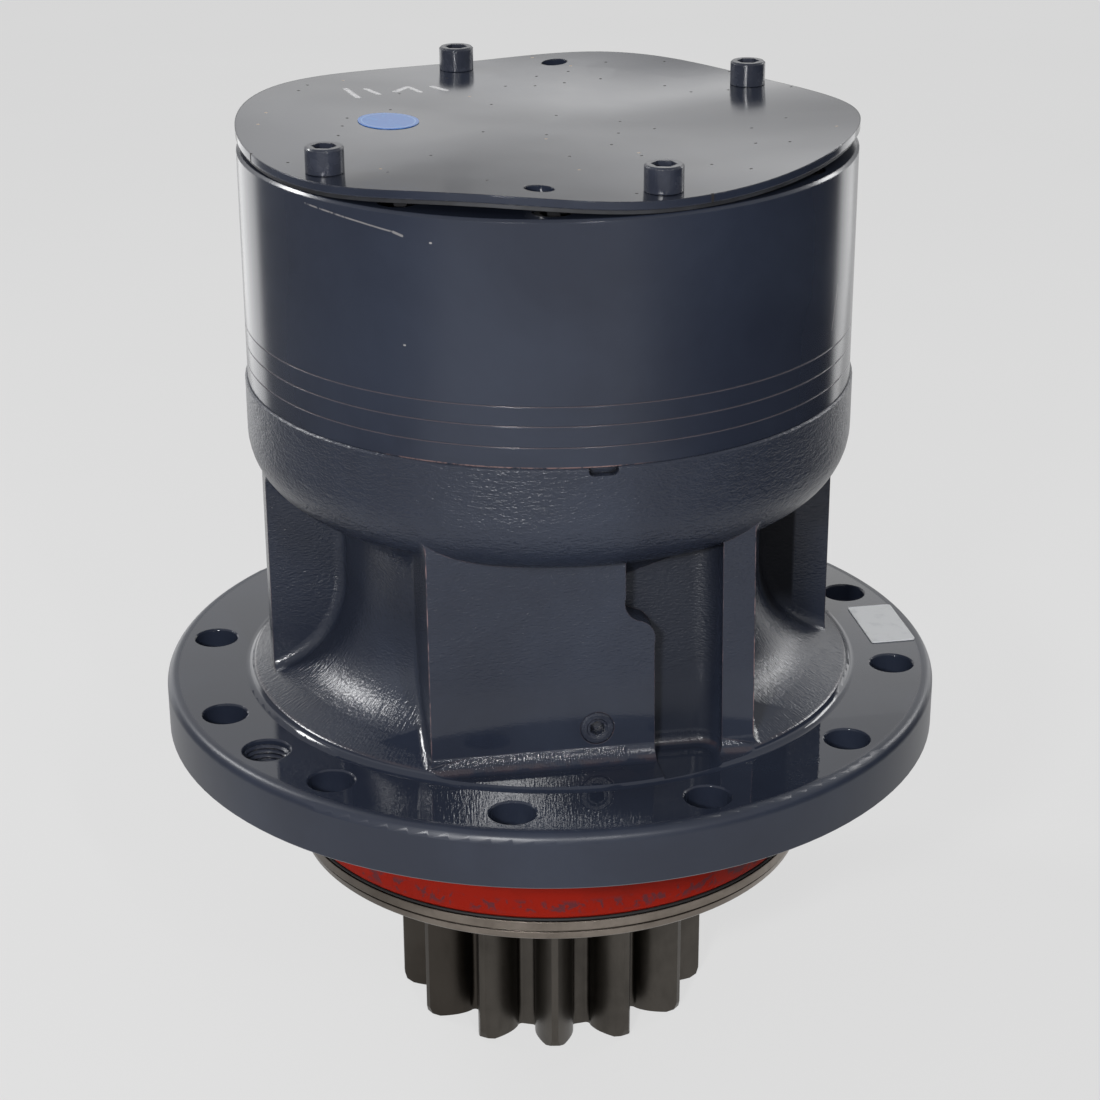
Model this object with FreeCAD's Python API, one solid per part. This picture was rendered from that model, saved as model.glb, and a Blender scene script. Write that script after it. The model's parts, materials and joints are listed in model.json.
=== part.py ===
import FreeCAD, Part
import math
import os
from FreeCAD import Vector

# Swing gearbox of an excavator: a cast housing with a mounting flange, an output
# shaft cut with a pinion below, and two planetary stages in a ring gear above.
# Frame: +Z up, origin at the centre of the flange's mounting face, which is the
# underside of the flange. Twelve flange holes lie at multiples of 30 degrees.
# Lengths are in millimetres and angles in degrees.

# Mounting flange
FLANGE_THICKNESS = 33.0
FLANGE_EDGE_WIDTH = 25.0         # from the bolt circle to the outer edge
FLANGE_EDGE_ROUND = 6.0
FLANGE_BOLT_CIRCLE = 420.0
FLANGE_HOLES = 12
FLANGE_HOLE_DIAMETER = 26.0
HOLE_MOUTH_CHAMFER = 0.8
JACKING_HOLE_DIAMETER = 27.0
JACKING_HOLE_ANGLES = (45.0, 225.0)
RAISED_CIRCLE_RADIUS = 182.0     # where the flare of the waist ends on the flange
RAISED_CIRCLE_STEP = 1.6
RAISED_CIRCLE_SWEEP = 5.5        # hollow run of its edge down to the flange

# Casting between the flange and the ring gear
CASING_HEIGHT = 221.0            # mounting face to the joint with the ring gear
WAIST_RADIUS = 127.4
WAIST_BOTTOM = 100.0             # height where the flare runs into the waist
FLARE_RADIUS = 60.0
FLARE_SLOPE = 24.0               # of the straight run from the flare to the flange
BOWL_RADIUS = 38.0               # rounding under the rim of the casting
BOWL_CENTRE_DROP = 31.0          # from the joint down to the centre of that rounding
NECK_RADIUS = 30.0               # hollow rounding between the waist and the bowl
RIM_OVERHANG = 1.5               # the rim stands out past the ring gear
CAST_ENVELOPE_INSET = 7.0        # the ribs stop this far inside the rim
RIM_EDGE_CHAMFER = 1.0
PRY_NOTCH = (16.0, 4.5, 5.0)     # width, height and depth, under the joint
PRY_NOTCH_ROUND = 3.0

# Pads, ribs and pocket on the outside of the casting
PAD_DIRECTION = -75.0            # outward normal of the front pad
PAD_DISTANCE = 146.0             # from the axis to the flat face, at the level below
PAD_LEVEL = 165.0
PAD_LEAN = 0.058                 # the face comes out by this much per mm downwards
PAD_LEFT = 92.5
PAD_RIGHT = 92.0
PAD_FILLET = 6.0                 # between a pad's sides and the flare
LEDGE_HEIGHT = 1.9               # foot of the pads above the flange
LEDGE_ROUND = 9.0
LEDGE_CUT_HEIGHT = 40.0          # how far up the flare is cut away before a pad
POCKET_DEPTH = 20.0              # at the pad's level; the floor leans more than the face
POCKET_LEAN = 0.108
POCKET_LEDGE_HEIGHT = 1.0
POCKET_FOOT_ROUND = 6.0
POCKET_CUT_TOP = 110.0           # above this height the neck stays whole in the pocket
POCKET_RIGHT = 73.5
POCKET_LEFT_UPPER = 18.5         # the left wall steps sideways half way up
POCKET_LEFT_LOWER = 34.7
POCKET_STEP_TOP = 131.0
POCKET_STEP_BOTTOM = 103.0
POCKET_STEP_BOW = 1.2            # how full the two bows of the S are
POCKET_ROUND = 14.0
RIB_THICKNESS = 30.0
RIB_FILLET = 7.0

# Spigot, seal cover and their screws
SPIGOT_RADIUS = 159.0
SPIGOT_DEPTH = 66.0
SPIGOT_CHAMFER = 3.4             # makes room for the O-ring
SEAL_COVER_THICKNESS = 13.0
SEAL_COVER_LIP = 14.0            # register that enters the lower bearing bore
SEAL_COVER_TAPER = 3.5
SEAL_COVER_OVERHANG = 0.5
SEAL_COVER_SCREWS = 8
SEAL_COVER_SCREW_RADIUS = 136.0

# Output pinion, in one piece with the drive shaft
PINION_MODULE = 12.0
PINION_TEETH = 13
PINION_SHIFT = 0.5               # profile shift, in modules
PINION_FACE = 110.0
PINION_GAP = 6.0                 # between the seal cover and the teeth
PINION_END_ROUND = 5.0
PINION_ROOT_FILLET = 2.6

# Drive shaft and its two bearings
LOWER_BEARING_BORE = 120.0
LOWER_BEARING_OUTER = 215.0
LOWER_BEARING_WIDTH = 58.0
LOWER_ROLLER_RADIUS = 12.5
LOWER_ROLLER_LENGTH = 23.0
LOWER_ROLLERS_PER_ROW = 15
LOWER_ROW_OFFSET = 14.0
LOWER_RACE_MIDDLE = 84.0         # radius to the middle of the rollers
UPPER_BEARING_BORE = 90.0
UPPER_BEARING_OUTER = 160.0
UPPER_BEARING_WIDTH = 40.0
UPPER_BEARING_DROP = 49.0        # joint face down to the top of the bearing
UPPER_ROLLER_RADIUS = 9.0
UPPER_ROLLER_LENGTH = 24.0
UPPER_ROLLERS = 16
SEAL_JOURNAL_RADIUS = 70.0
SEAL_OUTER_RADIUS = 85.0
SEAL_HEIGHT = 15.0
SEAL_FLOOR = 4.0                 # metal of the seal cover below the seal
SHAFT_BODY_RADIUS = 54.0
SHAFT_SPLINE_TEETH = 26
SHAFT_SPLINE_MODULE = 3.0
LOCKNUT_OUTER_RADIUS = 60.0
LOCKNUT_HEIGHT = 14.0
LOCK_WASHER_THICKNESS = 2.0
CIRCLIP_THICKNESS = 4.0
CIRCLIP_GRIP = 4.0               # how deep the circlip sits in its groove

# Cavities of the casting
LOWER_CAVITY_WALL = 32.4
CAVITY_SHOULDER = 9.0            # step that carries the upper bearing's outer race
LOWER_SHOULDER = 12.5            # step above the lower bearing's outer race
CHAMBER_INSET = 3.0              # gear chamber inside the ring gear's tooth roots
CHAMBER_FLOOR_RISE = 6.0         # chamber floor above the upper bearing
CHAMBER_FLOOR_ROUND = 10.0
CAVITY_TAPER_START = 30.0        # below the upper bearing, where the cavity narrows
CAVITY_TAPER_END = 8.0
PLUG_HOLE_REACH = 10.0           # how far the plug's drilling opens into the cavity

# Ring gear and planetary stages
GEAR_MODULE = 4.0
RING_TEETH = 69
RING_WALL = 34.0
RING_HEIGHT = 135.0
RING_EDGE_ROUND = 1.5
SCRIBE_DEPTHS = (11.5, 23.3, 34.3)   # three fine grooves above the joint
SCRIBE_SIZE = 0.6
SUN_1_TEETH = 15
PLANET_1_TEETH = 27
PLANETS_1 = 3
PLANET_1_FACE = 30.0
SUN_2_TEETH = 27
PLANET_2_TEETH = 21
PLANETS_2 = 4
PLANET_2_FACE = 52.0
PRESSURE_ANGLE = 20.0
ADDENDUM = 1.0
DEDENDUM = 1.25
TOOTH_THINNING = 0.14            # taken off each tooth at the pitch circle
NEEDLE_RADIUS = 3.0
NEEDLES = 12
NEEDLE_CAGE_WALL = 2.4
NEEDLE_CAGE_ENDS = 3.0           # rings that close the cage past the needles
PIN_1_RADIUS = 17.0
PIN_1_STEP = 2.0                 # the pin's shank in the carrier is thinner by this
PIN_2_RADIUS = 19.0
PIN_2_FLOOR = 3.0                # metal of the second carrier below its pins
WASHER_THICKNESS = 1.8
CARRIER_1_PLATE = 13.0
SCALLOP_RADIUS = 34.0            # hollows between the first carrier's lobes
SCALLOP_OUTSIDE = 12.0           # their centres stand this far outside its rim
CARRIER_2_LOWER_PLATE = 22.0
CARRIER_2_UPPER_PLATE = 18.0
PLANET_2_RISE = 1.0              # joint face up to the second planets
CARRIER_PIN_WALL = 14.0
CARRIER_GAP = 4.0                # between the two carriers
CARRIER_2_HUB_WALL = 22.0        # round the splined bore
PLANET_ROOM = 2.5                # between a planet's teeth and its window
SUN_BORE = 18.0
RETAINER_THICKNESS = 5.0
RETAINER_RADIUS = 49.5
MOTOR_SPLINE_TEETH = 16
MOTOR_SPLINE_MODULE = 2.0
SUN_1_FACE = 34.0
SUN_WASHER_RADII = (15.0, 26.0)

# Fasteners
RING_BOLTS = 12
RING_BOLT_START = 6.5
RING_BOLT_RADIUS = 160.0
RING_BOLT_GRIP = 28.0            # thread length in the casting
DOWEL_ANGLES = (171.5, 351.5)
DOWEL_RADIUS = 5.0
DOWEL_LENGTH = 40.0
SCREW_DIAMETER = 14.0
SCREW_HEAD_DIAMETER = 21.0
SCREW_HEAD_HEIGHT = 14.0
SMALL_SCREW_DIAMETER = 10.0
SMALL_HEAD_DIAMETER = 16.0
SMALL_HEAD_HEIGHT = 10.0
SEAL_SCREW_LENGTH = 22.0
SPRING_PIN_RADIUS = 2.5
SPRING_PIN_LENGTH = 20.0

# Top cover: a thin plate on a gasket, bowed up between its four screws
COVER_THICKNESS = 4.5
GASKET_THICKNESS = 2.2
COVER_SCREW_ANGLES = (-132.5, -62.2, 45.9, 116.5)
COVER_SCREW_RADIUS = 159.0
COVER_SCREW_LENGTH = 32.0
COVER_HOLE_ANGLES = (-86.0, 94.0)
COVER_HOLE_RADIUS = 154.0
COVER_HOLE_DIAMETER = 16.0
COVER_LIFT_SHORT = 5.5           # bow of the edge between two near screws
COVER_LIFT_PER_DEGREE = 0.055    # more bow where the screws stand further apart

# Small items on the outside
PLUG_HEIGHT = 54.5
PLUG_OFFSET = 1.7
PLUG_SEAT_DEPTH = 2.0            # spot face of the rim in the pad
PLUG_SEAT_GAP = 0.05
PLUG_RADIUS = 8.3
PLUG_RIM_RADIUS = 9.5
PLUG_LENGTH = 18.0
PLUG_HEX = 8.0
PLUG_HEX_DEPTH = 8.0
PLUG_DISH_RADIUS = 6.2           # shallow dish in the plug's face, round the hexagon
LABEL_SIZE = (54.0, 28.0, 0.8)
LABEL_ANGLE = 15.7
STICKER_CENTRE = (-90.5, -7.0)
STICKER_RADIUS = 17.5
STICKER_THICKNESS = 0.4

# Clearances
RUNNING_CLEARANCE = 0.05
SEAT_GAP = 0.3                   # between pieces that only rest near each other
PRESS_GAP = 0.02                 # radial, pressed seats of races and pins
BORE_CLEARANCE = 0.1             # radial, round screws, pins and registers
SPLINE_CLEARANCE = 0.12
CAGE_CLEARANCE = 0.25
O_RING_RADIUS = 1.5
CUT_MARGIN = 5.0                 # cutting forms run this far past a face
TAP_RUNOUT = 5.0                 # tapped holes run this far past their screws

# Sizes that follow from the ones above
FLANGE_RADIUS = FLANGE_BOLT_CIRCLE / 2 + FLANGE_EDGE_WIDTH
RING_PITCH_RADIUS = GEAR_MODULE * RING_TEETH / 2
RING_ROOT_RADIUS = RING_PITCH_RADIUS + DEDENDUM * GEAR_MODULE
RING_TIP_RADIUS = RING_PITCH_RADIUS - ADDENDUM * GEAR_MODULE
RING_OUTER_RADIUS = RING_ROOT_RADIUS + RING_WALL
RIM_RADIUS = RING_OUTER_RADIUS + RIM_OVERHANG
CAST_ENVELOPE = RIM_RADIUS - CAST_ENVELOPE_INSET
CHAMBER_RADIUS = RING_ROOT_RADIUS - CHAMBER_INSET
RING_TOP = CASING_HEIGHT + RING_HEIGHT
ORBIT_1 = GEAR_MODULE * (SUN_1_TEETH + PLANET_1_TEETH) / 2
ORBIT_2 = GEAR_MODULE * (SUN_2_TEETH + PLANET_2_TEETH) / 2
PINION_TOP = -SPIGOT_DEPTH - SEAL_COVER_THICKNESS - PINION_GAP
PINION_BOTTOM = PINION_TOP - PINION_FACE
LOWER_BEARING_Z = -SPIGOT_DEPTH + SEAL_COVER_LIP
LOWER_BEARING_TOP = LOWER_BEARING_Z + LOWER_BEARING_WIDTH
UPPER_BEARING_TOP = CASING_HEIGHT - UPPER_BEARING_DROP
UPPER_BEARING_Z = UPPER_BEARING_TOP - UPPER_BEARING_WIDTH
UPPER_RACE_MIDDLE = (UPPER_BEARING_BORE + UPPER_BEARING_OUTER) / 4
LOWER_CAVITY_RADIUS = WAIST_RADIUS - LOWER_CAVITY_WALL
LEDGE_Z = FLANGE_THICKNESS + LEDGE_HEIGHT
POCKET_LEDGE_Z = FLANGE_THICKNESS + POCKET_LEDGE_HEIGHT
PAD_OUTER_REACH = RAISED_CIRCLE_RADIUS + 4 * CUT_MARGIN
PAD_LOW = FLANGE_THICKNESS - CUT_MARGIN
PLUG_FACE = PAD_DISTANCE + PAD_LEAN * (PAD_LEVEL - PLUG_HEIGHT)
SHAFT_SPLINE_PITCH = SHAFT_SPLINE_MODULE * SHAFT_SPLINE_TEETH / 2
LOCKNUT_Z = UPPER_BEARING_TOP + LOCK_WASHER_THICKNESS
HUB_BOTTOM = LOCKNUT_Z + LOCKNUT_HEIGHT + SEAT_GAP
PLANET_2_Z = CASING_HEIGHT + PLANET_2_RISE
CARRIER_2_FLOOR = PLANET_2_Z - WASHER_THICKNESS - 2 * SEAT_GAP
CARRIER_2_Z = CARRIER_2_FLOOR - CARRIER_2_LOWER_PLATE
RETAINER_Z = CARRIER_2_FLOOR - RETAINER_THICKNESS - SEAT_GAP
SUN_2_Z = CARRIER_2_FLOOR
PLANET_2_TOP = PLANET_2_Z + PLANET_2_FACE
CARRIER_2_CEILING = PLANET_2_TOP + WASHER_THICKNESS + 2 * SEAT_GAP
CARRIER_2_TOP = CARRIER_2_CEILING + CARRIER_2_UPPER_PLATE
CARRIER_1_Z = CARRIER_2_TOP + CARRIER_GAP
CARRIER_1_FLOOR = CARRIER_1_Z + CARRIER_1_PLATE
PLANET_1_Z = CARRIER_1_FLOOR + WASHER_THICKNESS + 2 * SEAT_GAP
PLANET_1_TOP = PLANET_1_Z + PLANET_1_FACE
PIN_CLIP_Z = PLANET_1_TOP + WASHER_THICKNESS + 2 * SEAT_GAP
PIN_CLIP_THICKNESS = 2.0
PIN_1_TOP = PIN_CLIP_Z + PIN_CLIP_THICKNESS + SEAT_GAP + 1.0
SUN_WASHER_Z = CARRIER_1_FLOOR + SEAT_GAP
SUN_1_Z = SUN_WASHER_Z + WASHER_THICKNESS + SEAT_GAP
CARRIER_1_RADIUS = ORBIT_1 + PIN_1_RADIUS + CARRIER_PIN_WALL
CARRIER_2_RADIUS = ORBIT_2 + PIN_2_RADIUS + CARRIER_PIN_WALL
COVER_BOTTOM = RING_TOP + SEAT_GAP
COVER_TOP = COVER_BOTTOM + GASKET_THICKNESS + SEAT_GAP + COVER_THICKNESS


def disc(radius, low, high):
    return Part.makeCylinder(radius, high - low, Vector(0, 0, low))


def tube(inner, outer, low, high):
    return disc(outer, low, high).cut(disc(inner, low - 1, high + 1))


def turned(shape, angle):
    """A copy turned about the gearbox axis."""
    copy = shape.copy()
    copy.rotate(Vector(0, 0, 0), Vector(0, 0, 1), angle)
    return copy


def moved(shape, x, y, z=0.0):
    copy = shape.copy()
    copy.translate(Vector(x, y, z))
    return copy


def polar(radius, angle):
    return (radius * math.cos(math.radians(angle)), radius * math.sin(math.radians(angle)))


def placed(shape, radius, angle, z=0.0):
    x, y = polar(radius, angle)
    return moved(shape, x, y, z)


def even_angles(count, start=0.0):
    return [start + 360.0 * i / count for i in range(count)]


def around(shape, radius, angles, z=0.0):
    """Copies on a circle, each one moved but not turned."""
    return [placed(shape, radius, angle, z) for angle in angles]


def cut_all(body, tools):
    return body.cut(Part.makeCompound(tools)) if tools else body


def revolved(edges):
    """A solid of revolution from edges in the XZ plane that close on the axis."""
    face = Part.Face(Part.Wire(edges))
    return face.revolve(Vector(0, 0, 0), Vector(0, 0, 1), 360)


def line(a, b):
    return Part.makeLine(Vector(*a), Vector(*b))


def arc(a, middle, b):
    return Part.Arc(Vector(*a), Vector(*middle), Vector(*b)).toShape()


def profile(points):
    """Straight edges through (radius, height) points, closed."""
    corners = [(r, 0, z) for r, z in points]
    return [line(a, b) for a, b in zip(corners, corners[1:] + corners[:1])]


def lathe(points):
    return revolved(profile(points))


def hexagon_prism(across_flats, low, high):
    corner = across_flats / math.sqrt(3)
    points = [Vector(*polar(corner, 60 * i), low) for i in range(7)]
    return Part.Face(Part.makePolygon(points)).extrude(Vector(0, 0, high - low))


def cap_screw(diameter, head_diameter, head_height, length):
    """Socket head screw: the head's underside is at z = 0 and the head points up."""
    r = diameter / 2
    head_r = head_diameter / 2
    tip = r * 0.2
    edge = head_height * 0.07
    body = lathe([(0, head_height), (head_r - edge, head_height), (head_r, head_height - edge),
                  (head_r, 0), (r, 0), (r, tip - length), (r - tip, -length), (0, -length)])
    across_flats = diameter * 0.86
    depth = head_height * 0.6
    socket = hexagon_prism(across_flats, head_height - depth, head_height + 1)
    return body.cut(socket)


# Gear teeth

def involute_angle(base_radius, radius):
    ratio = max(radius / base_radius, 1.0)
    roll = math.sqrt(ratio * ratio - 1.0)
    return roll - math.atan(roll)


class ToothForm:
    """Involute tooth of a spur gear or spline, in its own plane."""

    def __init__(self, module, teeth, thinning, shift=0.0, pressure_angle=PRESSURE_ANGLE):
        alpha = math.radians(pressure_angle)
        self.teeth = teeth
        self.pitch_radius = module * teeth / 2
        self.base_radius = self.pitch_radius * math.cos(alpha)
        thickness_angle = (math.pi / 2 + 2 * shift * math.tan(alpha)) / teeth
        half_at_pitch = thickness_angle - thinning / (2 * self.pitch_radius)
        self.half_at_base = half_at_pitch + math.tan(alpha) - alpha

    def half_angle(self, radius):
        return self.half_at_base - involute_angle(self.base_radius, radius)

    def point(self, radius, angle):
        return Vector(radius * math.cos(angle), radius * math.sin(angle), 0)

    def flank(self, start, tip, middle, side):
        """Edges from the root end to the tip on one side of a tooth."""
        radii = [start + (tip - start) * i / 4 for i in range(5)]
        points = [self.point(r, middle + side * self.half_angle(r)) for r in radii]
        curve = Part.BSplineCurve()
        curve.interpolate(points)
        return curve.toShape()

    def outline(self, root, tip):
        """Closed outline of the whole gear."""
        edges = []
        pitch_angle = 2 * math.pi / self.teeth
        start = max(root, self.base_radius)
        root_half = self.half_angle(start)
        tip_half = self.half_angle(tip)
        for i in range(self.teeth):
            middle = i * pitch_angle
            if root < start:
                edges.append(Part.makeLine(self.point(root, middle - root_half),
                                           self.point(start, middle - root_half)))
            edges.append(self.flank(start, tip, middle, -1))
            edges.append(Part.Arc(self.point(tip, middle - tip_half), self.point(tip, middle),
                                  self.point(tip, middle + tip_half)).toShape())
            edges.append(self.flank(start, tip, middle, 1))
            if root < start:
                edges.append(Part.makeLine(self.point(start, middle + root_half),
                                           self.point(root, middle + root_half)))
            gap_end = middle + pitch_angle - root_half
            gap_middle = middle + pitch_angle / 2
            edges.append(Part.Arc(self.point(root, middle + root_half),
                                  self.point(root, gap_middle),
                                  self.point(root, gap_end)).toShape())
        return Part.Wire(Part.__sortEdges__(edges))

    def prism(self, root, tip, low, high):
        face = Part.Face(self.outline(root, tip))
        return moved(face.extrude(Vector(0, 0, high - low)), 0, 0, low)


def stage_gear(teeth, low, high):
    """External gear of the planetary stages, with a tooth on the +X axis."""
    form = ToothForm(GEAR_MODULE, teeth, TOOTH_THINNING)
    root = form.pitch_radius - DEDENDUM * GEAR_MODULE
    tip = form.pitch_radius + ADDENDUM * GEAR_MODULE
    return form.prism(root, tip, low, high)


def spline(module, teeth, widening, low, high):
    """Involute spline with 30 degree flanks; widening grows it for a hub's bore."""
    form = ToothForm(module, teeth, -widening, 0.0, 30.0)
    root = form.pitch_radius - 0.55 * module + widening
    tip = form.pitch_radius + 0.45 * module + widening
    return form.prism(root, tip, low, high)


# Casting

def bowl_tangent():
    """Where the hollow neck meets the bowl, and the height of the neck's centre."""
    bowl_x = RIM_RADIUS - BOWL_RADIUS
    bowl_z = CASING_HEIGHT - BOWL_CENTRE_DROP
    neck_x = WAIST_RADIUS + NECK_RADIUS
    span = BOWL_RADIUS + NECK_RADIUS
    neck_z = bowl_z - math.sqrt(span ** 2 - (neck_x - bowl_x) ** 2)
    share = BOWL_RADIUS / span
    tangent = (bowl_x + (neck_x - bowl_x) * share, bowl_z + (neck_z - bowl_z) * share)
    return bowl_x, bowl_z, neck_x, neck_z, tangent


def casting_outside():
    """Flange, flare, waist, bowl and spigot as one turned form."""
    bowl_x, bowl_z, neck_x, neck_z, tangent = bowl_tangent()
    slope = math.radians(FLARE_SLOPE)
    flare_x = WAIST_RADIUS + FLARE_RADIUS
    sweep = math.pi / 2 - slope
    flare_end = (flare_x - FLARE_RADIUS * math.cos(sweep), WAIST_BOTTOM - FLARE_RADIUS * math.sin(sweep))
    foot_z = flare_end[1] - (RAISED_CIRCLE_RADIUS - flare_end[0]) * math.tan(slope)
    foot = (RAISED_CIRCLE_RADIUS, max(foot_z, FLANGE_THICKNESS + RAISED_CIRCLE_STEP))

    def on_arc(x, z, radius, angle):
        return (x + radius * math.cos(angle), 0, z + radius * math.sin(angle))

    flare_middle = on_arc(flare_x, WAIST_BOTTOM, FLARE_RADIUS, math.pi + sweep / 2)
    neck_end_angle = math.atan2(tangent[1] - neck_z, tangent[0] - neck_x)
    neck_middle = on_arc(neck_x, neck_z, NECK_RADIUS, (math.pi + neck_end_angle) / 2)
    bowl_start_angle = math.atan2(tangent[1] - bowl_z, tangent[0] - bowl_x)
    bowl_middle = on_arc(bowl_x, bowl_z, BOWL_RADIUS, bowl_start_angle / 2)
    top = CASING_HEIGHT
    edge = FLANGE_EDGE_ROUND
    corner = edge * (1 - math.sqrt(0.5))
    sweep_end = (RAISED_CIRCLE_RADIUS + RAISED_CIRCLE_SWEEP, FLANGE_THICKNESS)
    step = foot[1] - FLANGE_THICKNESS
    sweep_radius = (RAISED_CIRCLE_SWEEP ** 2 + step ** 2) / (2 * step)
    half_turn = math.asin(RAISED_CIRCLE_SWEEP / sweep_radius) / 2
    sweep_middle = on_arc(sweep_end[0], FLANGE_THICKNESS + sweep_radius, sweep_radius,
                          -math.pi / 2 - half_turn)

    points = [(0, 0, -SPIGOT_DEPTH), (SPIGOT_RADIUS - SPIGOT_CHAMFER, 0, -SPIGOT_DEPTH),
              (SPIGOT_RADIUS, 0, SPIGOT_CHAMFER - SPIGOT_DEPTH), (SPIGOT_RADIUS, 0, 0),
              (FLANGE_RADIUS - 1, 0, 0), (FLANGE_RADIUS, 0, 1), (FLANGE_RADIUS, 0, FLANGE_THICKNESS - edge)]
    edges = [line(a, b) for a, b in zip(points, points[1:])]
    edges.append(arc(points[-1], (FLANGE_RADIUS - corner, 0, FLANGE_THICKNESS - corner),
                     (FLANGE_RADIUS - edge, 0, FLANGE_THICKNESS)))
    edges.append(line((FLANGE_RADIUS - edge, 0, FLANGE_THICKNESS), (sweep_end[0], 0, sweep_end[1])))
    edges.append(arc((sweep_end[0], 0, sweep_end[1]), sweep_middle, (foot[0], 0, foot[1])))
    edges.append(line((foot[0], 0, foot[1]), (flare_end[0], 0, flare_end[1])))
    edges.append(arc((flare_end[0], 0, flare_end[1]), flare_middle, (WAIST_RADIUS, 0, WAIST_BOTTOM)))
    edges.append(line((WAIST_RADIUS, 0, WAIST_BOTTOM), (WAIST_RADIUS, 0, neck_z)))
    edges.append(arc((WAIST_RADIUS, 0, neck_z), neck_middle, (tangent[0], 0, tangent[1])))
    edges.append(arc((tangent[0], 0, tangent[1]), bowl_middle, (RIM_RADIUS, 0, bowl_z)))
    closing = [(RIM_RADIUS, 0, bowl_z), (RIM_RADIUS, 0, top - RIM_EDGE_CHAMFER),
               (RIM_RADIUS - RIM_EDGE_CHAMFER, 0, top), (0, 0, top), (0, 0, -SPIGOT_DEPTH)]
    edges += [line(a, b) for a, b in zip(closing, closing[1:])]
    return revolved(edges)


def inside_envelope(shape):
    """What of the shape lies within the turned envelope of pads and ribs."""
    return shape.common(disc(CAST_ENVELOPE, 0, CASING_HEIGHT - BOWL_CENTRE_DROP))


def box(x, y, z):
    """Box from three (low, high) pairs."""
    corner = Vector(x[0], y[0], z[0])
    return Part.makeBox(x[1] - x[0], y[1] - y[0], z[1] - z[0], corner)


def pad_height():
    """Top of the pads, well inside the bowl."""
    return bowl_tangent()[1] - BOWL_RADIUS / 3


def pad_face(height):
    """Distance from the axis to the pad's leaning face at a height."""
    return PAD_DISTANCE + PAD_LEAN * (PAD_LEVEL - height)


def pocket_floor(height):
    return PAD_DISTANCE - POCKET_DEPTH + POCKET_LEAN * (PAD_LEVEL - height)


def leaning_prism(inner, left, right, low, high, outer):
    """Prism across a pad between outer and a slanted plane; inner gives the plane at a height."""
    corners = [Vector(inner(low), left, low), Vector(outer, left, low),
               Vector(outer, left, high), Vector(inner(high), left, high)]
    face = Part.Face(Part.makePolygon(corners + corners[:1]))
    return face.extrude(Vector(0, right - left, 0))


def level_edges(shape, x, z):
    """Straight edges across the pad at a distance x and a height z."""
    return [e for e in shape.Edges if e.BoundBox.XLength < 0.01 and e.BoundBox.ZLength < 0.01
            and abs(e.BoundBox.XMin - x) < 0.01 and abs(e.BoundBox.ZMin - z) < 0.01]


def pad_block():
    return leaning_prism(pad_face, -PAD_LEFT, PAD_RIGHT, PAD_LOW, pad_height(), WAIST_RADIUS / 2)


def pocket_outline(x):
    """Outline of the pocket: its left wall steps over in an S half way up."""
    top = pad_height() + CUT_MARGIN
    middle_z = (POCKET_STEP_TOP + POCKET_STEP_BOTTOM) / 2
    middle_y = (POCKET_LEFT_UPPER + POCKET_LEFT_LOWER) / 2
    bend = 0.5 - math.sqrt(0.5) / 2
    across = POCKET_LEFT_LOWER - POCKET_LEFT_UPPER
    along = POCKET_STEP_TOP - POCKET_STEP_BOTTOM
    upper = (x, POCKET_LEFT_UPPER, POCKET_STEP_TOP)
    centre = (x, middle_y, middle_z)
    lower = (x, POCKET_LEFT_LOWER, POCKET_STEP_BOTTOM)
    upper_bow = (x, POCKET_LEFT_UPPER + across * bend / 2, middle_z + along * bend * POCKET_STEP_BOW)
    lower_bow = (x, POCKET_LEFT_LOWER - across * bend / 2, middle_z - along * bend * POCKET_STEP_BOW)
    edges = [line((x, POCKET_LEFT_UPPER, top), upper), arc(upper, upper_bow, centre),
             arc(centre, lower_bow, lower), line(lower, (x, POCKET_LEFT_LOWER, POCKET_LEDGE_Z)),
             line((x, POCKET_LEFT_LOWER, POCKET_LEDGE_Z), (x, POCKET_RIGHT, POCKET_LEDGE_Z)),
             line((x, POCKET_RIGHT, POCKET_LEDGE_Z), (x, POCKET_RIGHT, top)),
             line((x, POCKET_RIGHT, top), (x, POCKET_LEFT_UPPER, top))]
    return Part.Face(Part.Wire(edges))


def pocket_cutter():
    """Pocket beside the plug, with a rounded right corner and foot; the neck above stays."""
    inner = WAIST_RADIUS / 2
    outline = pocket_outline(inner).extrude(Vector(PAD_OUTER_REACH - inner, 0, 0))
    slab = leaning_prism(pocket_floor, 0, PAD_RIGHT, PAD_LOW, pad_height() + 2 * CUT_MARGIN, PAD_OUTER_REACH)
    cutter = outline.common(slab)
    low_x = pocket_floor(POCKET_LEDGE_Z)
    corner = [e for e in cutter.Edges if e.BoundBox.YLength < 0.01 and e.BoundBox.ZLength > 50
              and abs(e.BoundBox.YMin - POCKET_RIGHT) < 0.01 and abs(e.BoundBox.XMax - low_x) < 0.01]
    cutter = cutter.makeFillet(POCKET_ROUND, corner)
    cutter = cutter.makeFillet(POCKET_FOOT_ROUND, level_edges(cutter, low_x, POCKET_LEDGE_Z))
    neck = casting_outside().common(disc(PAD_OUTER_REACH, POCKET_CUT_TOP, CASING_HEIGHT))
    return cutter.cut(neck)


def ledge_cutter():
    """Clears the flare in front of a pad down to a ledge, with a rounded foot."""
    block = leaning_prism(pad_face, -PAD_LEFT, PAD_RIGHT, LEDGE_Z, LEDGE_Z + LEDGE_CUT_HEIGHT,
                          PAD_OUTER_REACH)
    return block.makeFillet(LEDGE_ROUND, level_edges(block, pad_face(LEDGE_Z), LEDGE_Z))


def rib_pair():
    half = RIB_THICKNESS / 2
    return inside_envelope(box((-half, half), (-RIM_RADIUS, RIM_RADIUS), (PAD_LOW, pad_height())))


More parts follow.
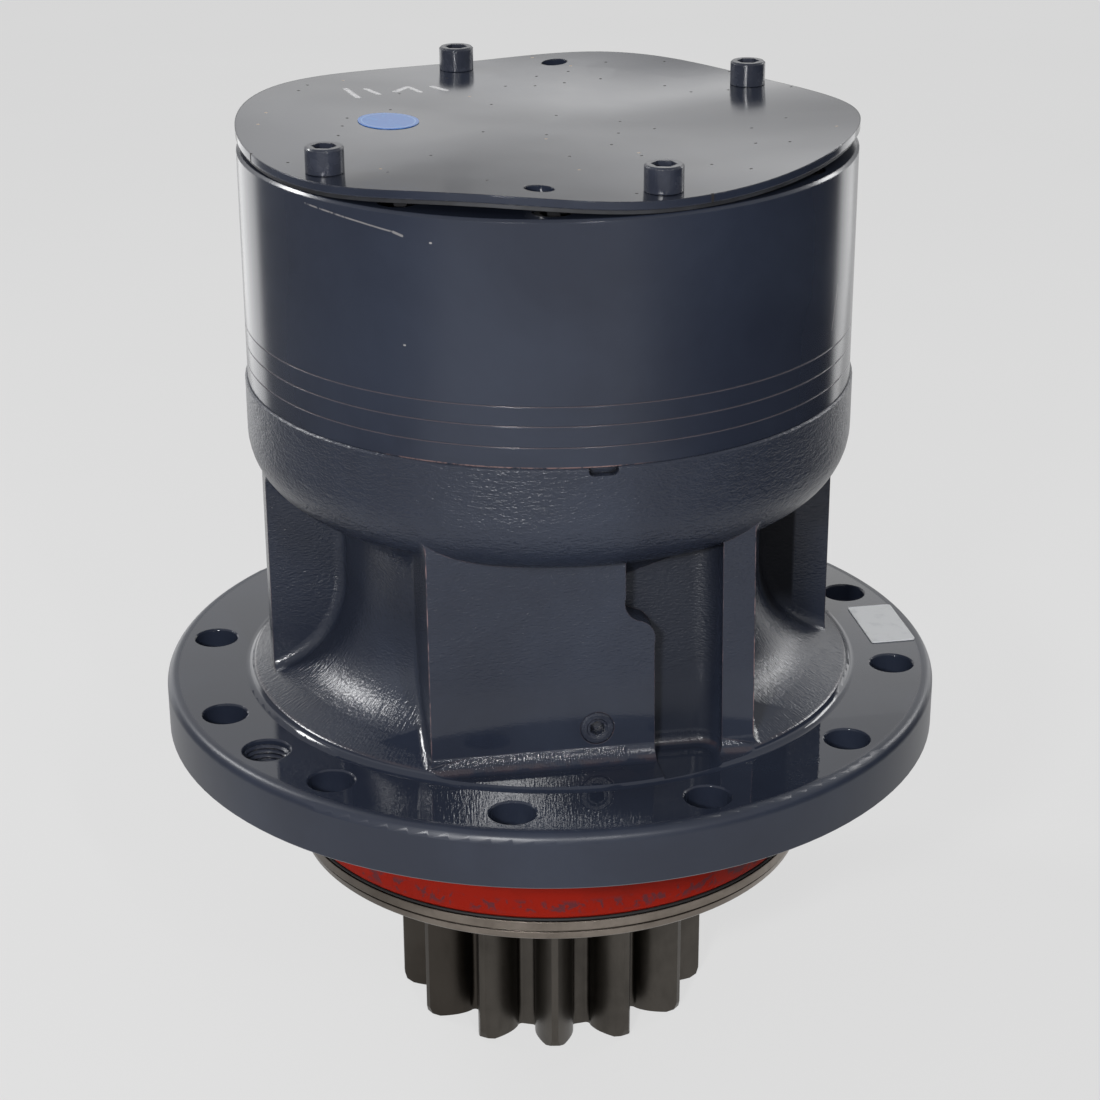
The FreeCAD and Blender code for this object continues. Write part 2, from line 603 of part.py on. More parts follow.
def rib_edges(shape):
    """Inner edges where the ribs' flat sides meet the turned waist."""
    half = RIB_THICKNESS / 2
    found = []
    for edge in shape.Edges:
        b = edge.BoundBox
        flat_side = b.XLength < 0.01 and abs(abs(b.XMin) - half) < 0.01
        if flat_side and b.ZLength > 5 and max(abs(b.YMin), abs(b.YMax)) < CAST_ENVELOPE + 1:
            upright = b.YLength < 0.01
            if not upright:
                found.append(edge)
    return found


def pad_side_edges(shape):
    """Edges where the pads' flat sides meet the turned waist."""
    sides = (-PAD_LEFT, -PAD_RIGHT, PAD_LEFT, PAD_RIGHT)
    found = []
    for edge in shape.Edges:
        b = edge.BoundBox
        on_side = b.YLength < 0.01 and min(abs(b.YMin - side) for side in sides) < 0.01
        curved = edge.Curve.TypeId != "Part::GeomLine"
        if on_side and b.ZLength > 2 and (curved or b.XLength < 0.01) and b.ZMax < pad_height() - 1:
            found.append(edge)
    return found


def housing_bores():
    """Bearing seats, cavities and gear chamber, all on the axis."""
    shoulder = LOWER_BEARING_OUTER / 2 - LOWER_SHOULDER
    upper_lip = UPPER_BEARING_OUTER / 2 - CAVITY_SHOULDER
    floor_z = UPPER_BEARING_TOP + CHAMBER_FLOOR_RISE
    groove = UPPER_BEARING_OUTER / 2 + CIRCLIP_GRIP
    clip_top = UPPER_BEARING_TOP + CIRCLIP_THICKNESS + 0.1
    return lathe([
        (0, -SPIGOT_DEPTH - 1), (LOWER_BEARING_OUTER / 2, -SPIGOT_DEPTH - 1),
        (LOWER_BEARING_OUTER / 2, LOWER_BEARING_TOP), (shoulder, LOWER_BEARING_TOP),
        (LOWER_CAVITY_RADIUS, LOWER_BEARING_TOP + shoulder * 0.1),
        (LOWER_CAVITY_RADIUS, UPPER_BEARING_Z - CAVITY_TAPER_START),
        (upper_lip, UPPER_BEARING_Z - CAVITY_TAPER_END),
        (upper_lip, UPPER_BEARING_Z), (UPPER_BEARING_OUTER / 2, UPPER_BEARING_Z),
        (UPPER_BEARING_OUTER / 2, UPPER_BEARING_TOP), (groove, UPPER_BEARING_TOP),
        (groove, clip_top), (UPPER_BEARING_OUTER / 2, clip_top),
        (UPPER_BEARING_OUTER / 2, floor_z), (CHAMBER_RADIUS - CHAMBER_FLOOR_ROUND, floor_z),
        (CHAMBER_RADIUS, floor_z + CHAMBER_FLOOR_ROUND), (CHAMBER_RADIUS, CASING_HEIGHT + 1),
        (0, CASING_HEIGHT + 1)])


def chamfered_hole(diameter, low, high):
    """Cutter for a through hole with a small chamfer at its upper mouth."""
    r = diameter / 2
    c = HOLE_MOUTH_CHAMFER
    return lathe([(0, low - 1), (r, low - 1), (r, high - c), (r + c + 1, high + 1), (0, high + 1)])


def flange_holes():
    bolt_hole = chamfered_hole(FLANGE_HOLE_DIAMETER, 0, FLANGE_THICKNESS)
    jacking_hole = chamfered_hole(JACKING_HOLE_DIAMETER, 0, FLANGE_THICKNESS)
    return (around(bolt_hole, FLANGE_BOLT_CIRCLE / 2, even_angles(FLANGE_HOLES))
            + around(jacking_hole, FLANGE_BOLT_CIRCLE / 2, JACKING_HOLE_ANGLES))


def ring_bolt_angles():
    return even_angles(RING_BOLTS, RING_BOLT_START)


def seal_screw_angles():
    return even_angles(SEAL_COVER_SCREWS, 180.0 / SEAL_COVER_SCREWS)


def joint_face_holes():
    """Tapped holes, dowel holes and O-ring groove in the joint with the ring gear."""
    top = CASING_HEIGHT
    tapped = disc(SCREW_DIAMETER / 2 + BORE_CLEARANCE, top - RING_BOLT_GRIP - TAP_RUNOUT, top + 1)
    dowel = disc(DOWEL_RADIUS + BORE_CLEARANCE, top - DOWEL_LENGTH / 2 - SEAT_GAP, top + 1)
    groove = tube(joint_ring_radius() - O_RING_RADIUS - 0.2, joint_ring_radius() + O_RING_RADIUS + 0.2,
                  top - 2 * O_RING_RADIUS, top + 1)
    return (around(tapped, RING_BOLT_RADIUS, ring_bolt_angles())
            + around(dowel, RING_BOLT_RADIUS, DOWEL_ANGLES) + [groove])


def joint_ring_radius():
    """Middle of the O-ring between the casting and the ring gear."""
    return (RING_ROOT_RADIUS + RING_BOLT_RADIUS - SCREW_DIAMETER / 2) / 2


def plug_hole():
    """Drain hole through the pad into the cavity below the upper bearing."""
    floor = LOWER_CAVITY_RADIUS - PLUG_HOLE_REACH
    drilling = Part.makeCylinder(PLUG_RADIUS + BORE_CLEARANCE, PLUG_FACE - floor + CUT_MARGIN,
                                 Vector(floor, PLUG_OFFSET, PLUG_HEIGHT), Vector(1, 0, 0))
    seat = Part.makeCylinder(PLUG_RIM_RADIUS + BORE_CLEARANCE, 2 * CUT_MARGIN,
                             Vector(PLUG_FACE - PLUG_SEAT_DEPTH, PLUG_OFFSET, PLUG_HEIGHT), Vector(1, 0, 0))
    return drilling.fuse(seat)


def pry_notch():
    width, height, depth = PRY_NOTCH
    low = CASING_HEIGHT - height
    notch = box((RIM_RADIUS - depth, RIM_RADIUS + CUT_MARGIN), (-width / 2, width / 2), (low, CASING_HEIGHT + 1))
    corners = [e for e in notch.Edges if e.BoundBox.XLength > depth and e.BoundBox.ZMax < low + 0.01]
    return notch.makeFillet(PRY_NOTCH_ROUND, corners)


def seal_screw_holes():
    depth = SEAL_SCREW_LENGTH + TAP_RUNOUT
    hole = disc(SMALL_SCREW_DIAMETER / 2 + BORE_CLEARANCE, -SPIGOT_DEPTH - 1, -SPIGOT_DEPTH + depth)
    return around(hole, SEAL_COVER_SCREW_RADIUS, seal_screw_angles())


def casing():
    body = casting_outside()
    body = body.fuse([rib_pair(), pad_block(), turned(pad_block(), 180)])
    body = body.makeFillet(RIB_FILLET, rib_edges(body))
    body = body.makeFillet(PAD_FILLET, pad_side_edges(body))
    ledge = ledge_cutter()
    body = body.cut([ledge, turned(ledge, 180), pocket_cutter(), plug_hole(), pry_notch()])
    body = turned(body, PAD_DIRECTION)
    body = body.cut(housing_bores())
    return cut_all(body, flange_holes() + joint_face_holes() + seal_screw_holes()).removeSplitter()


# Ring gear and what joins it to the casting

def ring_gear():
    top = RING_TOP
    e = RING_EDGE_ROUND
    s = SCRIBE_SIZE / 2
    outside = [(0, CASING_HEIGHT), (RING_OUTER_RADIUS, CASING_HEIGHT)]
    for depth in SCRIBE_DEPTHS:
        z = CASING_HEIGHT + depth
        outside += [(RING_OUTER_RADIUS, z - s), (RING_OUTER_RADIUS - SCRIBE_SIZE, z),
                    (RING_OUTER_RADIUS, z + s)]
    outside += [(RING_OUTER_RADIUS, top - e), (RING_OUTER_RADIUS - e, top), (0, top)]
    space = ToothForm(GEAR_MODULE, RING_TEETH, -TOOTH_THINNING)
    teeth = space.prism(RING_TIP_RADIUS, RING_ROOT_RADIUS, CASING_HEIGHT - 1, top + 1)
    return cut_all(lathe(outside).cut(teeth), ring_bolt_holes() + cover_screw_holes())


def ring_bolt_holes():
    through = disc(SCREW_DIAMETER / 2 + 0.5, CASING_HEIGHT - 1, RING_TOP + 1)
    counterbore = disc(SCREW_HEAD_DIAMETER / 2 + 0.5, RING_TOP - SCREW_HEAD_HEIGHT - 1, RING_TOP + 1)
    dowel = disc(DOWEL_RADIUS + BORE_CLEARANCE, CASING_HEIGHT - 1,
                 CASING_HEIGHT + DOWEL_LENGTH / 2 + SEAT_GAP)
    return (around(through.fuse(counterbore), RING_BOLT_RADIUS, ring_bolt_angles())
            + around(dowel, RING_BOLT_RADIUS, DOWEL_ANGLES))


def cover_screw_holes():
    depth = COVER_SCREW_LENGTH + TAP_RUNOUT
    hole = disc(SCREW_DIAMETER / 2 + BORE_CLEARANCE, RING_TOP - depth, RING_TOP + 1)
    return around(hole, COVER_SCREW_RADIUS, COVER_SCREW_ANGLES)


def ring_gear_bolts():
    length = RING_HEIGHT - SCREW_HEAD_HEIGHT - 1 + RING_BOLT_GRIP
    bolt = cap_screw(SCREW_DIAMETER, SCREW_HEAD_DIAMETER, SCREW_HEAD_HEIGHT, length)
    seat = RING_TOP - SCREW_HEAD_HEIGHT - 1
    return Part.makeCompound(around(bolt, RING_BOLT_RADIUS, ring_bolt_angles(), seat))


def dowel_pins():
    low = CASING_HEIGHT - DOWEL_LENGTH / 2
    high = CASING_HEIGHT + DOWEL_LENGTH / 2
    r = DOWEL_RADIUS
    pin = lathe([(0, low), (r - 1, low), (r, low + 1), (r, high - 1), (r - 1, high), (0, high)])
    return Part.makeCompound(around(pin, RING_BOLT_RADIUS, DOWEL_ANGLES))


def joint_o_ring():
    squeezed = O_RING_RADIUS - 0.1
    return Part.makeTorus(joint_ring_radius(), squeezed, Vector(0, 0, CASING_HEIGHT - O_RING_RADIUS))


# Cover

def cover_lift(angle):
    """How far the cover's edge is bowed up at an angle, zero at each screw."""
    screws = sorted(a % 360 for a in COVER_SCREW_ANGLES)
    a = angle % 360
    lower = max([s for s in screws if s <= a], default=screws[-1] - 360)
    upper = min([s for s in screws if s > a], default=screws[0] + 360)
    if lower > a:
        lower -= 360
    span = upper - lower
    short = min(b - c for b, c in zip(screws[1:] + [screws[0] + 360], screws))
    height = COVER_LIFT_SHORT + COVER_LIFT_PER_DEGREE * (span - short)
    return height * (1 - math.cos(2 * math.pi * (a - lower) / span)) / 2


def warped_layer(low, thickness, radius):
    """Round sheet that follows the bow of the cover, its flat level at z = low."""
    reach = RING_OUTER_RADIUS * 1.05
    steps = 16
    rows = []
    for i in range(steps + 1):
        x = reach * (2.0 * i / steps - 1)
        row = []
        for j in range(steps + 1):
            y = reach * (2.0 * j / steps - 1)
            share = (math.hypot(x, y) / RING_OUTER_RADIUS) ** 2
            row.append(Vector(x, y, low + share * cover_lift(math.degrees(math.atan2(y, x)))))
        rows.append(row)
    surface = Part.BSplineSurface()
    surface.interpolate(rows)
    sheet = surface.toShape().extrude(Vector(0, 0, thickness))
    height = thickness + COVER_LIFT_SHORT * 6
    return sheet.common(disc(radius, low - 2, low + height))


def cover_holes(low, high, screw_clearance):
    screw = disc(SCREW_DIAMETER / 2 + screw_clearance, low, high)
    open_hole = disc(COVER_HOLE_DIAMETER / 2, low, high)
    return (around(screw, COVER_SCREW_RADIUS, COVER_SCREW_ANGLES)
            + around(open_hole, COVER_HOLE_RADIUS, COVER_HOLE_ANGLES))


def cover_gasket():
    sheet = warped_layer(COVER_BOTTOM, GASKET_THICKNESS, RING_OUTER_RADIUS - 1.5)
    opening = disc(RING_ROOT_RADIUS, COVER_BOTTOM - 2, COVER_TOP + 40)
    return cut_all(sheet, [opening] + cover_holes(COVER_BOTTOM - 2, COVER_TOP + 20, 0.6))


def cover_plate():
    sheet = warped_layer(COVER_TOP - COVER_THICKNESS, COVER_THICKNESS, RING_OUTER_RADIUS)
    return cut_all(sheet, cover_holes(COVER_BOTTOM - 2, COVER_TOP + 20, 0.5))


def cover_screws():
    screw = cap_screw(SCREW_DIAMETER, SCREW_HEAD_DIAMETER, SCREW_HEAD_HEIGHT, COVER_SCREW_LENGTH)
    return Part.makeCompound(around(screw, COVER_SCREW_RADIUS, COVER_SCREW_ANGLES, COVER_TOP + SEAT_GAP))


def inspection_sticker():
    sheet = warped_layer(COVER_TOP + 0.05, STICKER_THICKNESS, RING_OUTER_RADIUS)
    x, y = STICKER_CENTRE
    return sheet.common(moved(disc(STICKER_RADIUS, COVER_TOP - 5, COVER_TOP + 20), x, y))


def blank_label():
    length, width, thickness = LABEL_SIZE
    outer_edge = FLANGE_RADIUS - FLANGE_EDGE_ROUND
    distance = math.sqrt(outer_edge ** 2 - (length / 2) ** 2) - width - 0.5
    plate = box((distance, distance + width), (-length / 2, length / 2),
                (FLANGE_THICKNESS, FLANGE_THICKNESS + thickness))
    corners = [e for e in plate.Edges if abs(e.BoundBox.ZLength - thickness) < 0.01]
    return turned(plate.makeFillet(2.0, corners), LABEL_ANGLE)


def drain_plug():
    low = PLUG_FACE - PLUG_LENGTH
    rim_low = PLUG_FACE - PLUG_SEAT_DEPTH + PLUG_SEAT_GAP
    rim_high = PLUG_FACE + 0.8
    plug = lathe([(0, low), (PLUG_RADIUS - 1, low), (PLUG_RADIUS, low + 1), (PLUG_RADIUS, rim_low),
                  (PLUG_RIM_RADIUS, rim_low), (PLUG_RIM_RADIUS, rim_high - 0.8),
                  (PLUG_RIM_RADIUS - 0.8, rim_high), (PLUG_DISH_RADIUS, rim_high),
                  (PLUG_DISH_RADIUS - 0.8, rim_high - 0.8), (0, rim_high - 0.8)])
    plug = plug.cut(hexagon_prism(PLUG_HEX, PLUG_FACE - PLUG_HEX_DEPTH, PLUG_FACE + CUT_MARGIN))
    plug.rotate(Vector(0, 0, 0), Vector(0, 1, 0), 90)
    return turned(moved(plug, 0, PLUG_OFFSET, PLUG_HEIGHT), PAD_DIRECTION)


# Lower end: seal cover and seal

def seal_cover():
    low = -SPIGOT_DEPTH - SEAL_COVER_THICKNESS
    face = -SPIGOT_DEPTH
    rim = SPIGOT_RADIUS + SEAL_COVER_OVERHANG
    lip = LOWER_BEARING_OUTER / 2 - BORE_CLEARANCE
    shaft_hole = SEAL_JOURNAL_RADIUS + 1.5
    groove = low + SEAL_COVER_THICKNESS * 0.45
    body = lathe([
        (shaft_hole, low), (rim - SEAL_COVER_TAPER, low), (rim - SEAL_COVER_TAPER + 1, low + 1),
        (rim - 1.4, groove - 0.5), (rim - 2.4, groove), (rim - 2.4, groove + 0.8), (rim, groove + 1.6),
        (rim, face), (lip, face), (lip, LOWER_BEARING_Z),
        (SEAL_OUTER_RADIUS + BORE_CLEARANCE, LOWER_BEARING_Z),
        (SEAL_OUTER_RADIUS + BORE_CLEARANCE, low + SEAL_FLOOR), (shaft_hole, low + SEAL_FLOOR)])
    clearance = disc(SMALL_SCREW_DIAMETER / 2 + 0.5, low - 1, face + 1)
    counterbore = disc(SMALL_HEAD_DIAMETER / 2 + 0.5, low - 1, low + SMALL_HEAD_HEIGHT + 0.5)
    return cut_all(body, around(clearance.fuse(counterbore), SEAL_COVER_SCREW_RADIUS, seal_screw_angles()))


def seal_cover_screws():
    screw = cap_screw(SMALL_SCREW_DIAMETER, SMALL_HEAD_DIAMETER, SMALL_HEAD_HEIGHT, SEAL_SCREW_LENGTH)
    screw.rotate(Vector(0, 0, 0), Vector(1, 0, 0), 180)
    seat = -SPIGOT_DEPTH - SEAL_COVER_THICKNESS + SMALL_HEAD_HEIGHT + 0.5
    return Part.makeCompound(around(screw, SEAL_COVER_SCREW_RADIUS, seal_screw_angles(), seat))


def spigot_o_ring():
    """O-ring in the corner between the spigot's chamfer and the seal cover."""
    inscribed = SPIGOT_CHAMFER * (1 - math.sqrt(0.5))
    return Part.makeTorus(SPIGOT_RADIUS - inscribed, inscribed - BORE_CLEARANCE,
                          Vector(0, 0, inscribed - SPIGOT_DEPTH))


def shaft_seal():
    low = -SPIGOT_DEPTH - SEAL_COVER_THICKNESS + SEAL_FLOOR + 0.1
    high = low + SEAL_HEIGHT
    lip = SEAL_JOURNAL_RADIUS + BORE_CLEARANCE
    return lathe([(lip + 3, low), (SEAL_OUTER_RADIUS, low), (SEAL_OUTER_RADIUS, high),
                  (SEAL_OUTER_RADIUS - 3, high), (SEAL_OUTER_RADIUS - 3, low + 4), (lip + 4, low + 4),
                  (lip + 3, high - 3), (lip + 1, high - 3), (lip, high - 6), (lip + 2, low + 3)])


# Bearings

def barrel_wire(clearance):
    """Section of a barrel roller in place, upper row, grown by a clearance."""
    distance = math.hypot(LOWER_RACE_MIDDLE, LOWER_ROW_OFFSET)
    crown = distance + LOWER_ROLLER_RADIUS + clearance
    half = LOWER_ROLLER_LENGTH / 2 + clearance
    tilt = math.atan2(LOWER_ROW_OFFSET, LOWER_RACE_MIDDLE)
    bulge = LOWER_ROLLER_RADIUS + clearance
    edge = math.sqrt(crown ** 2 - half ** 2) - distance

    def local(out, along):
        x = (distance + out) * math.cos(tilt) - along * math.sin(tilt)
        z = (distance + out) * math.sin(tilt) + along * math.cos(tilt)
        return (x, 0, z)

    outer = arc(local(edge, -half), local(bulge, 0), local(edge, half))
    inner = arc(local(-edge, half), local(-bulge, 0), local(-edge, -half))
    return [outer, line(local(edge, half), local(-edge, half)), inner,
            line(local(-edge, -half), local(edge, -half))], local


def lower_bearing_middle():
    return LOWER_BEARING_Z + LOWER_BEARING_WIDTH / 2


def barrel_roller(clearance):
    """One barrel roller of the upper row, about its own tilted axis."""
    edges, local = barrel_wire(clearance)
    half = LOWER_ROLLER_LENGTH / 2 + clearance
    start = local(0, -half)
    end = local(0, half)
    outer = edges[0]
    wire = Part.Wire([outer, line(outer.Vertexes[-1].Point, end), line(end, start),
                      line(start, outer.Vertexes[0].Point)])
    axis = Vector(*end) - Vector(*start)
    return Part.Face(wire).revolve(Vector(*start), axis, 360)


def both_rows(shape):
    mirror = shape.mirror(Vector(0, 0, 0), Vector(0, 0, 1))
    return [shape, mirror]


def lower_bearing_outer_race():
    half = LOWER_BEARING_WIDTH / 2
    distance = math.hypot(LOWER_RACE_MIDDLE, LOWER_ROW_OFFSET)
    ball = Part.makeSphere(distance + LOWER_ROLLER_RADIUS + RUNNING_CLEARANCE)
    race = disc(LOWER_BEARING_OUTER / 2 - RUNNING_CLEARANCE, -half, half).cut(ball)
    return moved(race, 0, 0, lower_bearing_middle())


def lower_bearing_inner_race():
    half = LOWER_BEARING_WIDTH / 2
    shoulder = LOWER_RACE_MIDDLE - LOWER_ROLLER_RADIUS + 4.0
    race = tube(LOWER_BEARING_BORE / 2 + PRESS_GAP, shoulder, -half, half)
    grooves = both_rows(revolved(barrel_wire(RUNNING_CLEARANCE)[0]))
    return moved(cut_all(race, grooves), 0, 0, lower_bearing_middle())


def lower_bearing_rollers():
    """Two rows of barrel rollers with the brass cage between the races."""
    angles = even_angles(LOWER_ROLLERS_PER_ROW)
    roller = barrel_roller(0.0)
    pocket = barrel_roller(CAGE_CLEARANCE)
    rollers = [turned(row, a) for row in both_rows(roller) for a in angles]
    pockets = [turned(row, a) for row in both_rows(pocket) for a in angles]
    inner = LOWER_RACE_MIDDLE - 4
    cage = tube(inner, LOWER_RACE_MIDDLE + 5, -LOWER_ROW_OFFSET - 9, LOWER_ROW_OFFSET + 9)
    cage = cut_all(cage, pockets)
    return Part.makeCompound([moved(s, 0, 0, lower_bearing_middle()) for s in rollers + [cage]])


def upper_bearing_outer_race():
    race = tube(UPPER_RACE_MIDDLE + UPPER_ROLLER_RADIUS + RUNNING_CLEARANCE,
                UPPER_BEARING_OUTER / 2 - RUNNING_CLEARANCE, UPPER_BEARING_Z, UPPER_BEARING_TOP)
    return race


def upper_bearing_inner_race():
    outer = UPPER_RACE_MIDDLE - UPPER_ROLLER_RADIUS - RUNNING_CLEARANCE
    flange = outer + 4
    middle = (UPPER_BEARING_Z + UPPER_BEARING_TOP) / 2
    half = UPPER_ROLLER_LENGTH / 2 + 0.2
    bore = UPPER_BEARING_BORE / 2 + PRESS_GAP
    return lathe([(bore, UPPER_BEARING_Z), (flange, UPPER_BEARING_Z), (flange, middle - half),
                  (outer, middle - half), (outer, middle + half), (flange, middle + half),
                  (flange, UPPER_BEARING_TOP), (bore, UPPER_BEARING_TOP)])


def slotted_cage(middle_radius, wall, count, slot_width, slot_length, low, high):
    """Roller cage: a thin sleeve with straight slots."""
    sleeve = tube(middle_radius - wall / 2, middle_radius + wall / 2, low, high)
    centre = (low + high) / 2
    slot = box((middle_radius - wall, middle_radius + wall), (-slot_width / 2, slot_width / 2),
               (centre - slot_length / 2, centre + slot_length / 2))
    return cut_all(sleeve, [turned(slot, a) for a in even_angles(count)])


def upper_bearing_rollers():
    middle = (UPPER_BEARING_Z + UPPER_BEARING_TOP) / 2
    half = UPPER_ROLLER_LENGTH / 2
    roller = disc(UPPER_ROLLER_RADIUS, middle - half, middle + half)
    rollers = around(roller, UPPER_RACE_MIDDLE, even_angles(UPPER_ROLLERS))
    slot_width = 2 * (UPPER_ROLLER_RADIUS + CAGE_CLEARANCE)
    cage = slotted_cage(UPPER_RACE_MIDDLE, 5.0, UPPER_ROLLERS, slot_width,
                        UPPER_ROLLER_LENGTH + 2 * CAGE_CLEARANCE, middle - half - 5, middle + half + 5)
    return Part.makeCompound(rollers + [cage])


def upper_bearing_circlip():
    low = UPPER_BEARING_TOP + 0.05
    high = UPPER_BEARING_TOP + CIRCLIP_THICKNESS
    outer = UPPER_BEARING_OUTER / 2 + CIRCLIP_GRIP - BORE_CLEARANCE
    ring = tube(UPPER_BEARING_OUTER / 2 - 5, outer, low, high)
    gap = box((0, UPPER_BEARING_OUTER), (-9, 9), (low - 1, high + 1))
    return ring.cut(gap)


# Drive shaft with the output pinion

def pinion_teeth():
    form = ToothForm(PINION_MODULE, PINION_TEETH, 0.0, PINION_SHIFT)
    root = form.pitch_radius - (DEDENDUM - PINION_SHIFT) * PINION_MODULE
    tip = form.pitch_radius + (ADDENDUM + PINION_SHIFT) * PINION_MODULE
    teeth = form.prism(root, tip, PINION_BOTTOM, PINION_TOP)
    corners = [e for e in teeth.Edges if e.BoundBox.ZLength > 1
               and abs(math.hypot(e.CenterOfMass.x, e.CenterOfMass.y) - root) < 0.5]
    teeth = teeth.makeFillet(PINION_ROOT_FILLET, corners)
    e = PINION_END_ROUND
    envelope = lathe([(0, PINION_BOTTOM), (tip - e, PINION_BOTTOM),
                      (tip - e * 0.25, PINION_BOTTOM + e * 0.35),
                      (tip + 0.01, PINION_BOTTOM + e * 1.2), (tip + 0.01, PINION_TOP - e * 1.2),
                      (tip - e * 0.25, PINION_TOP - e * 0.35), (tip - e, PINION_TOP), (0, PINION_TOP)])
    return teeth.common(envelope)


def drive_shaft():
    seat = LOWER_BEARING_BORE / 2
    upper = UPPER_BEARING_BORE / 2
    spline_root = SHAFT_SPLINE_PITCH - 0.55 * SHAFT_SPLINE_MODULE
    spline_top = RETAINER_Z - SEAT_GAP
    nut_top = LOCKNUT_Z + LOCKNUT_HEIGHT
    journal_top = LOWER_BEARING_Z - 8
    shoulder = seat + 6
    body = lathe([
        (0, PINION_TOP - 1), (SEAL_JOURNAL_RADIUS, PINION_TOP - 1), (SEAL_JOURNAL_RADIUS, journal_top),
        (shoulder, LOWER_BEARING_Z - 4), (shoulder, LOWER_BEARING_Z), (seat, LOWER_BEARING_Z),
        (seat, LOWER_BEARING_TOP), (SHAFT_BODY_RADIUS, LOWER_BEARING_TOP + 3),
        (SHAFT_BODY_RADIUS, UPPER_BEARING_Z), (upper, UPPER_BEARING_Z), (upper, nut_top),
        (spline_root, nut_top), (spline_root, spline_top), (0, spline_top)])
    teeth = spline(SHAFT_SPLINE_MODULE, SHAFT_SPLINE_TEETH, 0.0, nut_top - 0.5, spline_top)
    body = body.fuse([pinion_teeth(), teeth])
    centre = lathe([(0, PINION_BOTTOM - 1), (9, PINION_BOTTOM - 1), (9, PINION_BOTTOM + 1),
                    (5, PINION_BOTTOM + 7), (5, PINION_BOTTOM + 22), (0, PINION_BOTTOM + 25)])
    face_recess = lathe([(0, PINION_BOTTOM - 1), (46, PINION_BOTTOM - 1), (44, PINION_BOTTOM + 3),
                         (0, PINION_BOTTOM + 3)])
    return cut_all(body, [centre, face_recess] + retainer_screw_holes(spline_top)).removeSplitter()


def retainer_screw_holes(top):
    hole = disc(SMALL_SCREW_DIAMETER / 2 + BORE_CLEARANCE, top - 26, top + 1)
    return around(hole, RETAINER_RADIUS / 2, even_angles(3))


def bearing_locknut():
    r = UPPER_BEARING_BORE / 2 + BORE_CLEARANCE
    nut = tube(r, LOCKNUT_OUTER_RADIUS, LOCKNUT_Z, LOCKNUT_Z + LOCKNUT_HEIGHT)
    slot = box((LOCKNUT_OUTER_RADIUS - 5, LOCKNUT_OUTER_RADIUS + 5), (-6, 6),
               (LOCKNUT_Z - 1, LOCKNUT_Z + LOCKNUT_HEIGHT + 1))
    return cut_all(nut, [turned(slot, a) for a in even_angles(4)])


def lock_washer():
    r = UPPER_BEARING_BORE / 2 + BORE_CLEARANCE
    return tube(r, LOCKNUT_OUTER_RADIUS - 4, UPPER_BEARING_TOP + 0.05, LOCKNUT_Z - 0.05)


def retaining_plate():
    low = RETAINER_Z
    high = RETAINER_Z + RETAINER_THICKNESS
    plate = disc(RETAINER_RADIUS, low, high)
    r = SMALL_SCREW_DIAMETER / 2
    hole = lathe([(0, low - 1), (r + 0.3, low - 1), (r + 0.3, high - r + 0.3), (2 * r + 0.3, high + 0.3),
                  (0, high + 0.3)])
    return cut_all(plate, around(hole, RETAINER_RADIUS / 2, even_angles(3)))


def retaining_plate_screws():
    r = SMALL_SCREW_DIAMETER / 2
    top = RETAINER_Z + RETAINER_THICKNESS
    screw = lathe([(0, top - 0.2), (2 * r - 0.3, top - 0.2), (r, top - r - 0.2 + 0.3), (r, top - 25),
                   (0, top - 25)])
    screw = screw.cut(hexagon_prism(6.0, top - 4, top + 1))
    return Part.makeCompound(around(screw, RETAINER_RADIUS / 2, even_angles(3)))


# Second stage

def carrier_2():
    """Two plates joined by webs that fill the space between the planets."""
    body = disc(CARRIER_2_RADIUS, CARRIER_2_Z, CARRIER_2_TOP)
    hub = disc(SHAFT_SPLINE_PITCH + CARRIER_2_HUB_WALL, HUB_BOTTOM, CARRIER_2_Z + 1)
    body = body.fuse(hub)
    planet_tip = GEAR_MODULE * (PLANET_2_TEETH / 2 + ADDENDUM)
    window = disc(planet_tip + PLANET_ROOM, CARRIER_2_FLOOR, CARRIER_2_CEILING)
    mouth = box((0, CARRIER_2_RADIUS), (PLANET_ROOM - planet_tip, planet_tip - PLANET_ROOM),
                (CARRIER_2_FLOOR, CARRIER_2_CEILING))
    opening = moved(window.fuse(mouth), ORBIT_2, 0)
    windows = [turned(opening, a) for a in even_angles(PLANETS_2)]
    sun_tip = GEAR_MODULE * (SUN_2_TEETH / 2 + ADDENDUM)
    sun_bore = disc(sun_tip + 3, CARRIER_2_FLOOR, CARRIER_2_TOP + 1)
    recess = disc(RETAINER_RADIUS + 0.5, RETAINER_Z, CARRIER_2_FLOOR + 1)
    bore = spline(SHAFT_SPLINE_MODULE, SHAFT_SPLINE_TEETH, SPLINE_CLEARANCE, HUB_BOTTOM - 1,
                  CARRIER_2_FLOOR)
    pin_hole = disc(PIN_2_RADIUS + PRESS_GAP, CARRIER_2_Z + PIN_2_FLOOR, CARRIER_2_TOP + 1)
    pins = around(pin_hole, ORBIT_2, even_angles(PLANETS_2))
    return cut_all(body, windows + [sun_bore, recess, bore] + pins + spring_pin_holes())


def radial_pin(radius, inner, outer, z):
    return Part.makeCylinder(radius, outer - inner, Vector(inner, 0, z), Vector(1, 0, 0))


def spring_pin_holes():
    """Cross holes that lock the planet pins, drilled in from the carrier's rim."""
    z = CARRIER_2_Z + CARRIER_2_LOWER_PLATE / 2
    inner = CARRIER_2_RADIUS - SPRING_PIN_LENGTH - 2
    hole = radial_pin(SPRING_PIN_RADIUS + 0.05, inner, CARRIER_2_RADIUS + 1, z)
    return [turned(hole, a) for a in even_angles(PLANETS_2)]


